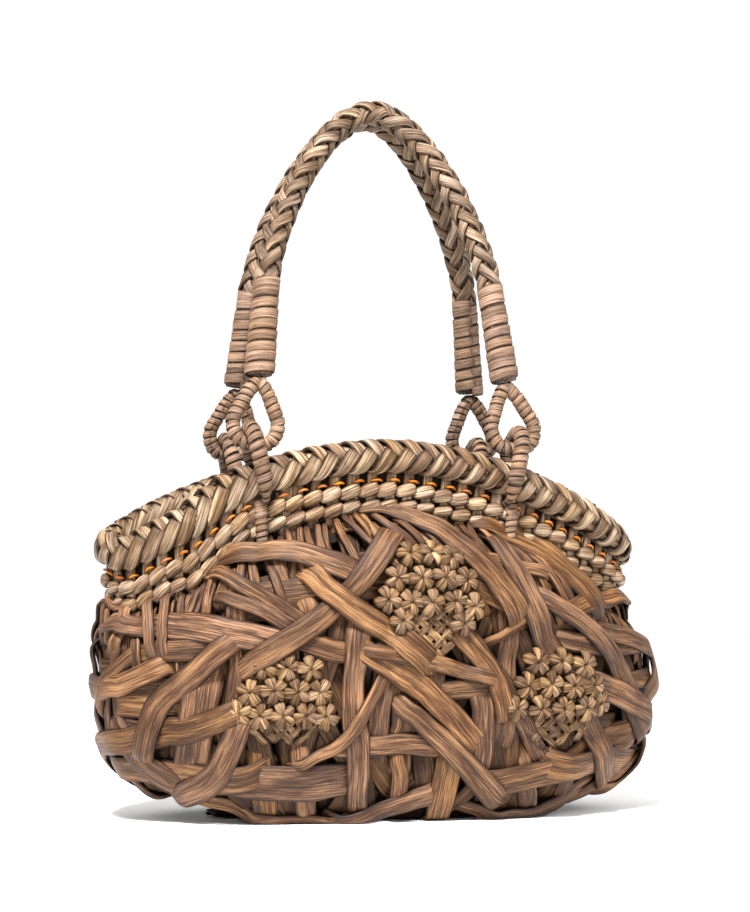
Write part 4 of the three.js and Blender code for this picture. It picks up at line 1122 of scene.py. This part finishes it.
# Lacing: the stakes' bare necks show between the rim and the upper row, with a waxed orange cord
# that arches from gap to gap, outside and inside. It parts where the rings pass through.
CORD_WIDTH = 0.0017
CORD_WAVE = 0.0024
CORD_RISE = 0.0004
CORD_REACH = 0.31
CORD_THICKNESS = 0.0012
STAKE_WIDTH = 0.0078
RING_FROM_MIDDLE = 0.076
RING_LEAN = math.radians(11.5)
RING_TUBE = 0.0047
SIDE_CLEARANCE = 0.0006
LACING_MIDDLE = -RIM_HALF_HEIGHT - LACING_GAP / 2
LACING_FALL = 0.0004
STAKE_THICKNESS = 0.0026
INNER_STAKE_THICKNESS = 0.0016
INNER_STAKE_DEPTH = 0.0022
STAKE_TOP = -0.0075
CORD_COLOURS = (84, 42, 12), (126, 68, 20), (160, 98, 38)
cord_finish = bark_finish("lacing_cord", CORD_COLOURS, 0.5, 3800, (0.9, 1.1), 0.3)


ring_seat = RING_FROM_MIDDLE + math.sin(RING_LEAN) * LACING_MIDDLE
ring_room = RING_TUBE + SIDE_CLEARANCE


def neck_stakes():
    rng = np.random.default_rng(51)
    bundle, inner = Bundle(), Bundle()
    up = np.linspace(STAKE_TOP, NECK_FOOT - 0.004, 8)
    inset = np.interp(-up, [-STAKE_TOP, 0.0165, -NECK_FOOT], [0.0005, NECK_INSET, NECK_INSET + ROW_INSET])
    for stitch in range(STITCHES):
        along = stitch + 0.1 + rng.uniform(-0.05, 0.05) + np.linspace(0.2, 0, 8)
        angle = stitch_angle(np.array([stitch]))
        x = float(neck_place(angle, np.zeros(1), 0)[0, 0])
        from_seat = abs(x) - ring_seat
        by_ring = abs(from_seat) < ring_room + 0.001
        behind = along + 0.5
        if by_ring:
            along = along - 0.45 * (1 if from_seat > 0 else -1) * np.sign(x) * np.sign(math.sin(angle[0]))
        width = STAKE_WIDTH * rng.uniform(0.85, 1.1)
        neck_strand(bundle, rng, along, -inset, up, width, STAKE_THICKNESS, end=0.8)
        if not by_ring:
            neck_strand(inner, rng, behind, -inset - INNER_STAKE_DEPTH, up, STAKE_WIDTH,
                        INNER_STAKE_THICKNESS, end=0.9, flat=6.0)
    bundle.piece("neck_stakes", twined_finish, "basket", "twined_bark")
    # The inner stakes are in the under bark, darkened as painted shade.
    inner.piece("neck_inner_stakes", shaded_under_finish, "basket", "under_bark")


def lacing(name, belongs):
    rng = np.random.default_rng(len(name))
    bundle = Bundle()
    stitches = np.arange(STITCHES) + 0.5
    inside = belongs(rim_line(stitch_angle(stitches)))
    share = np.linspace(-1, 1, 13)
    arch = 1 - share**2
    for stitch in stitches[inside]:
        along = stitch + rng.uniform(-0.05, 0.05) + CORD_REACH * share
        for face in (1, -1):
            out = -NECK_INSET / 2 + face * (CORD_WAVE * (1.35 * arch - 0.35))
            up = LACING_MIDDLE - LACING_FALL + CORD_RISE * (2 * arch - 1) + rng.uniform(-0.0002, 0.0002)
            neck_strand(bundle, rng, along, out, up, CORD_WIDTH, CORD_THICKNESS, 8, 0.0001, lift=0.001 * face)
    bundle.piece(name + "_cord", cord_finish, "basket", "lacing_cord", name)


neck_stakes()
lacing("lacing_front", lambda line: (np.abs(line[:, 0]) < ring_seat - ring_room) & (line[:, 1] < 0))
lacing("lacing_back", lambda line: (np.abs(line[:, 0]) < ring_seat - ring_room) & (line[:, 1] > 0))
lacing("lacing_left", lambda line: line[:, 0] < -ring_seat - ring_room)
lacing("lacing_right", lambda line: line[:, 0] > ring_seat + ring_room)

# Plaited rim: a border of broad leaves that rise to the right outside, meet shorter leaves along a
# spine on the upper front, and slant down again inside. Every end is tucked under the next leaf.
RIM_LEAF_WIDTH = 0.0094
RIM_LEAF_THICKNESS = 0.0024
RIM_CORE = 0.74
RIM_FOOT = 1.24
RIM_SINK = 0.0009
# The light tone is raised and paled: partly the bark's pale fibres, partly a painted sheen.
RIM_COLOURS = (38, 23, 10), (75, 54, 34), (146, 128, 106)
rim_finish = bark_finish("rim_bark", RIM_COLOURS)


def rim_strand(bundle, rng, stitches, turns, lifts, width, thick, sides=8, folds=0.0005, end=0.9):
    """A strand round the rim's oval section. A turn of nought faces out, and of 90 degrees up."""
    angle = stitch_angle(np.asarray(stitches))
    turns = np.radians(turns)

    def place(lift):
        up = (RIM_HALF_HEIGHT - RIM_SINK + lift) * np.sin(turns) * np.where(turns < 0, RIM_FOOT, 1)
        return neck_place(angle, (RIM_HALF_THICKNESS + lift) * np.cos(turns), up)

    out = unit(place(lifts + 0.001) - place(lifts))
    lay_bark(bundle, rng, place(lifts - thick / 2), out, width, thick, sides, folds, end=end)


def plaited_rim():
    rng = np.random.default_rng(61)
    bundle = Bundle()
    run = np.linspace(0, STITCHES, 2 * STITCHES + 1)
    angle = stitch_angle(run)
    centre = neck_place(angle, np.zeros(len(run)), 0)
    out = unit(neck_place(angle, np.full(len(run), 0.001), 0) - centre)
    lay_bark(bundle, rng, centre, out, 2 * RIM_CORE * RIM_HALF_HEIGHT, 2 * RIM_CORE * RIM_HALF_THICKNESS,
             end=1)
    share = np.linspace(0, 1, 11)
    bow = np.sin(math.pi * share)
    for stitch in range(STITCHES):
        jitter = rng.uniform(-0.07, 0.07)
        width = RIM_LEAF_WIDTH * rng.uniform(0.9, 1.06)
        lift = -0.0024 * (1 - share) ** 2 + 0.0006 * bow + 0.0013 * share**2
        taper = np.interp(share, [0, 0.2, 0.5, 1], [0.60, 0.70, 1.0, 1.0])
        rim_strand(bundle, rng, stitch + jitter + 1.20 * share, -86 + 102 * share + rng.uniform(-3, 3), lift,
                   width * taper, RIM_LEAF_THICKNESS, end=0.93)
        lift = -0.0022 * (1 - share) ** 3 - 0.0024 * share**4 + 0.0006 * bow
        rim_strand(bundle, rng, stitch + 1.80 + jitter - 1.35 * share, -6 + 136 * share, lift + 0.0004,
                   width * 0.94, RIM_LEAF_THICKNESS)
        lift = -0.0008 * (1 - share) ** 3 - 0.0020 * share**4
        rim_strand(bundle, rng, stitch + 0.2 + jitter + 2.3 * share, 96 + 172 * share, lift + 0.0006,
                   width * 1.04, RIM_LEAF_THICKNESS)
    bundle.piece("plaited_rim_bark", rim_finish, "basket", "rim_bark", "plaited_rim")


plaited_rim()

# Rings: four loops of cane round the rim, wound edge to edge with narrow bark. Each passes through
# the lacing, where it is thin, and carries an eye of a handle. Its foot is bound down over the rows.
SEAT_RADIUS = 0.0023
RIM_LEAVES_HALF = 0.0071
RING_REST_GAP = 0.0012
RING_PLAY = 0.004
RING_POWER = 2.5
SEAT_END = 0.6
EYE_TUBE = 0.0043
EYE_OVER_RIM = 0.0042
EYE_PLAY = 0.001
RING_PITCH = 0.0046
BINDING_STATIONS = 30
BINDING_THICK = 0.0026
BINDING_WIDE = 0.0044
BINDING_PITCH = 0.0036
WRAP_THICKNESS = 0.0008
HANDS = (("left", -1), ("right", 1))
PLACES = (("front", -1), ("back", 1))
WRAP_COLOURS = (52, 34, 20), (78, 58, 43), (118, 96, 79)
wrap_finish = bark_finish("wrap_bark", WRAP_COLOURS, 0.55, 2200)

seat_angle = -math.acos((RING_FROM_MIDDLE / RIM_HALF_LENGTH) ** (PLAN_POWER / 2))
seat_on_rim = rim_line(np.array([seat_angle]))[0]
rim_slope = math.acos(1 / float(slope_stretch(np.array([seat_angle]))[0]))


def along_ring(up):
    return up / math.cos(rim_slope - RING_LEAN)


PIVOT_RISE = along_ring(RIM_HALF_HEIGHT) + EYE_OVER_RIM + EYE_TUBE
PIVOT = np.array([RING_FROM_MIDDLE + math.sin(RING_LEAN) * PIVOT_RISE, -seat_on_rim[1],
                  seat_on_rim[2] + math.cos(RING_LEAN) * PIVOT_RISE])


def closed_run(points, steps):
    points = list(map(tuple, points))
    run = smooth_run(points[-2:] + points + points[:2], steps)
    return run[2 * steps:(2 + len(points)) * steps + 1]


def wind(bundle, rng, path, face, radius_face, radius_side, pitch, sides=20, lean=0.08, seam=math.pi):
    """Winds bark edge to edge round a path over a core. face points from the path to its first side."""
    length = run_length(path)
    face = np.broadcast_to(face, path.shape)
    radius_face = np.broadcast_to(radius_face, len(path))
    radius_side = np.broadcast_to(radius_side, len(path))
    ahead = unit(np.gradient(path, axis=0))
    lay_bark(bundle, rng, path, face, 1.72 * radius_side, 1.72 * radius_face, 8, end=0.95)
    wraps = max(int(round(length[-1] / pitch)), 1)
    pitch = length[-1] / wraps
    for wrap in range(wraps):
        turn = np.linspace(0, 2 * math.pi + 0.3, sides + 2)
        place = np.clip((wrap + turn / (2 * math.pi)) * pitch, pitch * 0.35, length[-1] - pitch * 0.35)
        place = np.clip(place + rng.uniform(-0.08, 0.08) * pitch, 0.0, length[-1])
        middle, front, on = (along_run(place, length, values) for values in (path, face, ahead))
        front, on = unit(front), unit(on)
        side = np.cross(on, front)
        a = np.interp(place, length, radius_face) - WRAP_THICKNESS / 2
        b = np.interp(place, length, radius_side) - WRAP_THICKNESS / 2
        swell = 1 + rng.uniform(-0.02, 0.03)
        c, s = np.cos(turn + seam)[:, None], np.sin(turn + seam)[:, None]
        centre = middle + swell * (front * c * a[:, None] + side * s * b[:, None])
        out = unit(front * c * b[:, None] + side * s * a[:, None])
        lay_bark(bundle, rng, centre, out, pitch * rng.uniform(0.96, 1.03), WRAP_THICKNESS, 8, 0.00012,
                 turn=np.full(len(turn), lean * rng.uniform(0.5, 1.4)), end=0.95, flat=7.0)


def ring(place, outward, hand, side):
    rng = np.random.default_rng(70 + 2 * side + outward)
    bundle = Bundle()
    outer = RIM_LEAVES_HALF + RING_REST_GAP + RING_TUBE
    inner = RIM_LEAVES_HALF + RING_PLAY + RING_TUBE
    foot = along_ring(LACING_MIDDLE)
    top = PIVOT_RISE + EYE_TUBE + EYE_PLAY + RING_TUBE
    up = np.array([side * math.sin(RING_LEAN), 0, math.cos(RING_LEAN)])
    out = np.array([0.0, outward, 0.0])
    middle = np.array([side * RING_FROM_MIDDLE, outward * PIVOT[1], seat_on_rim[2]])
    middle = middle + out * (outer - inner) / 2 + up * (top + foot) / 2
    turn = np.linspace(0, 2 * math.pi, 161)
    across, height = power(np.sin(turn), 2 / RING_POWER), -power(np.cos(turn), 2 / RING_POWER)
    path = middle + out * (across * (outer + inner) / 2)[:, None] + up * (height * (top - foot) / 2)[:, None]
    thin = np.clip((np.abs(across) - SEAT_END) / (1 - SEAT_END), 0, 1)
    radius = part_way(SEAT_RADIUS, RING_TUBE, np.where(height > 0, 1.0, eased(thin)))
    wind(bundle, rng, path, np.cross(up, out), radius, radius, RING_PITCH, 18, seam=0.5)
    bundle.piece(f"{place}_{hand}_ring_wound", wrap_finish, f"{place}_{hand}_ring", "wrap_bark",
                 f"{place}_{hand}_ring")


def ring_binding(place, outward, hand, side):
    """The narrow wraps that bind a ring's foot down over the twined rows."""
    rng = np.random.default_rng(80 + 2 * side + outward)
    bundle = Bundle()
    at_seat = seat_angle if side > 0 else -math.pi - seat_angle
    stitches = np.linspace(0, STITCHES - 0.01, 2000)
    stitch = np.interp((-outward * at_seat) % (2 * math.pi), stitch_angle(stitches), stitches)
    ups = np.linspace(LACING_MIDDLE + 0.0008, NECK_FOOT - 0.0015, BINDING_STATIONS)
    outs = np.interp(-ups, [0.0130, 0.019, -NECK_FOOT], [0.0006, 0.0036, 0.0012])
    angle = stitch_angle(stitch - 0.12 * side * np.linspace(0, 1, BINDING_STATIONS))
    path = neck_place(angle, outs, ups)
    face = unit(neck_place(angle, outs + 0.001, ups) - path)
    taper = np.linspace(1, 0.72, BINDING_STATIONS)
    wind(bundle, rng, path, face, BINDING_THICK * taper, BINDING_WIDE * taper, BINDING_PITCH, 14)
    bundle.piece(f"{place}_{hand}_ring_binding", wrap_finish, "basket", "wrap_bark")


for place, outward in PLACES:
    for hand, side in HANDS:
        ring(place, outward, hand, side)
        ring_binding(place, outward, hand, side)

# Handles: each stands on two wound eyes that hang in its rings. Broad wraps bind the eyes' legs into
# a collar, and above it eight strands are plaited round, over two and under two, into one tall arch.
LEG_LEAN = math.radians(6)
EYE_HALF_WIDTH = 0.0134
EYE_NECK = 0.0046
EYE_HEIGHT = 0.0385
EYE_PITCH = 0.0042
SEATING_GAP = 0.0003
COLLAR_FOOT = EYE_HEIGHT + EYE_TUBE + SEATING_GAP
COLLAR_LENGTH = 0.060
COLLAR_WRAPS = 9
COLLAR_WIDE = (0.0090, 0.0078)
COLLAR_THICK = (0.0070, 0.0078)
ARCH_TOP = 0.213
ARCH_RISE = 0.046
ARCH_CROWN = 0.028
ARCH_REACH = 0.0087
PLAIT_RADIUS = 0.0052
PLAIT_SWING = 0.0013
PLAIT_LEAD = 0.050
PLAIT_WIDTH = 0.0066
PLAIT_THICKNESS = 0.0027
PLAIT_STATIONS = 201
PLAIT_PAIRS = 4
PLAIT_COLOURS = (52, 37, 24), (60, 43, 28), (134, 115, 96)
plait_finish = bark_finish("plait_bark", PLAIT_COLOURS, fibre=2200)
handle_lean = math.asin((PIVOT[1] - ARCH_REACH) / ARCH_TOP)


def on_handle(points, outward):
    """Points of a handle that stands upright, moved to where it leans in on its eyes."""
    lean = outward * handle_lean
    x, y, z = np.moveaxis(points, -1, 0)
    return np.stack([x, y * math.cos(lean) - z * math.sin(lean) + outward * PIVOT[1],
                     y * math.sin(lean) + z * math.cos(lean) + PIVOT[2]], -1)


def on_leg(points, side, outward):
    turn = -side * LEG_LEAN
    x, y, z = np.moveaxis(points, -1, 0)
    return on_handle(np.stack([x * math.cos(turn) + z * math.sin(turn) + side * PIVOT[0], y,
                               z * math.cos(turn) - x * math.sin(turn)], -1), outward)


def hung(line, outward, side=0):
    """A line of a handle, or of the leg on one side, where it hangs, and the way out from it."""
    def moved(points):
        return on_leg(points, side, outward) if side else on_handle(points, outward)

    path = moved(line)
    return path, unit(moved(line + [0, 0.01, 0]) - path) * outward


def eye(place, outward, hand, side):
    rng = np.random.default_rng(90 + 2 * side + outward)
    bundle = Bundle()
    half = [(0.7 * EYE_HALF_WIDTH, 0.2 * EYE_HALF_WIDTH), (EYE_HALF_WIDTH, 0.95 * EYE_HALF_WIDTH),
            ((EYE_NECK + EYE_HALF_WIDTH) / 2, 0.65 * EYE_HEIGHT), (EYE_NECK, EYE_HEIGHT - EYE_NECK)]
    corners = [(0, 0)] + half + [(0, EYE_HEIGHT)] + [(-x, z) for x, z in reversed(half)]
    path, face = hung(closed_run([(x, 0, z) for x, z in corners], 16), outward, side)
    wind(bundle, rng, path, face, EYE_TUBE, EYE_TUBE, EYE_PITCH, 18)
    bundle.piece(f"{place}_{hand}_eye_wound", wrap_finish, f"{place}_handle", "wrap_bark",
                 f"{place}_{hand}_eye")


def collar(place, outward, hand, side):
    rng = np.random.default_rng(100 + 2 * side + outward)
    bundle = Bundle()
    rise = np.linspace(0, 1, 40)
    line = np.stack([0 * rise, 0 * rise, COLLAR_FOOT + COLLAR_LENGTH * rise], -1)
    path, face = hung(line, outward, side)
    wind(bundle, rng, path, face, part_way(*COLLAR_THICK, rise), part_way(*COLLAR_WIDE, rise),
         COLLAR_LENGTH / COLLAR_WRAPS, 24, 0.06)
    bundle.piece(f"{place}_{hand}_collar_wound", wrap_finish, f"{place}_handle", "wrap_bark",
                 f"{place}_{hand}_collar")


def handle_plait(place, outward):
    rng = np.random.default_rng(110 + outward)
    bundle = Bundle()
    leg_top = COLLAR_FOOT + COLLAR_LENGTH - 0.004
    leave = np.array([-math.sin(LEG_LEAN), 0, math.cos(LEG_LEAN)])
    start = np.array([PIVOT[0], 0, 0]) + leave * leg_top
    crown, beside_crown = np.array([0, 0, ARCH_TOP]), np.array([ARCH_CROWN, 0, ARCH_TOP])
    share = np.linspace(0, 1, 200)[:, None]
    right = ((1 - share)**3 * crown + 3 * (1 - share)**2 * share * beside_crown
             + 3 * (1 - share) * share**2 * (start + leave * ARCH_RISE) + share**3 * start)
    line = np.vstack([(right * [-1, 1, 1])[::-1], right[1:]])
    length = run_length(line)
    even = np.linspace(0, length[-1], PLAIT_STATIONS)
    path, face = hung(along_run(even, length, line), outward)
    outer = unit(np.cross(face, unit(np.gradient(path, axis=0)))) * -outward
    lay_bark(bundle, rng, path, face, 1.5 * PLAIT_RADIUS, 1.5 * PLAIT_RADIUS, 8, end=1)
    middle = np.clip((even / length[-1] - 0.35) / 0.3, 0, 1)
    swing_from = math.pi / 2 * eased(middle) - math.pi / 4
    for way in (1, -1):
        for strand in range(PLAIT_PAIRS):
            turn = way * 2 * math.pi * even / PLAIT_LEAD + (2 * strand + 0.5) * math.pi / PLAIT_PAIRS
            rise = -way * np.clip(1.5 * np.sin(2 * (turn - swing_from)), -1, 1)
            radius = PLAIT_RADIUS + PLAIT_SWING * rise
            away = face * np.cos(turn)[:, None] + outer * np.sin(turn)[:, None]
            width = PLAIT_WIDTH * (1 + 0.06 * np.sin(even / 0.011 + strand * 2 + way))
            lay_bark(bundle, rng, path + away * radius[:, None], away, width, PLAIT_THICKNESS, 12, 0.0004,
                     flat=2.2)
    bundle.piece(f"{place}_handle_plait_bark", plait_finish, f"{place}_handle", "plait_bark",
                 f"{place}_handle_plait")


for place, outward in PLACES:
    for hand, side in HANDS:
        eye(place, outward, hand, side)
        collar(place, outward, hand, side)
    handle_plait(place, outward)
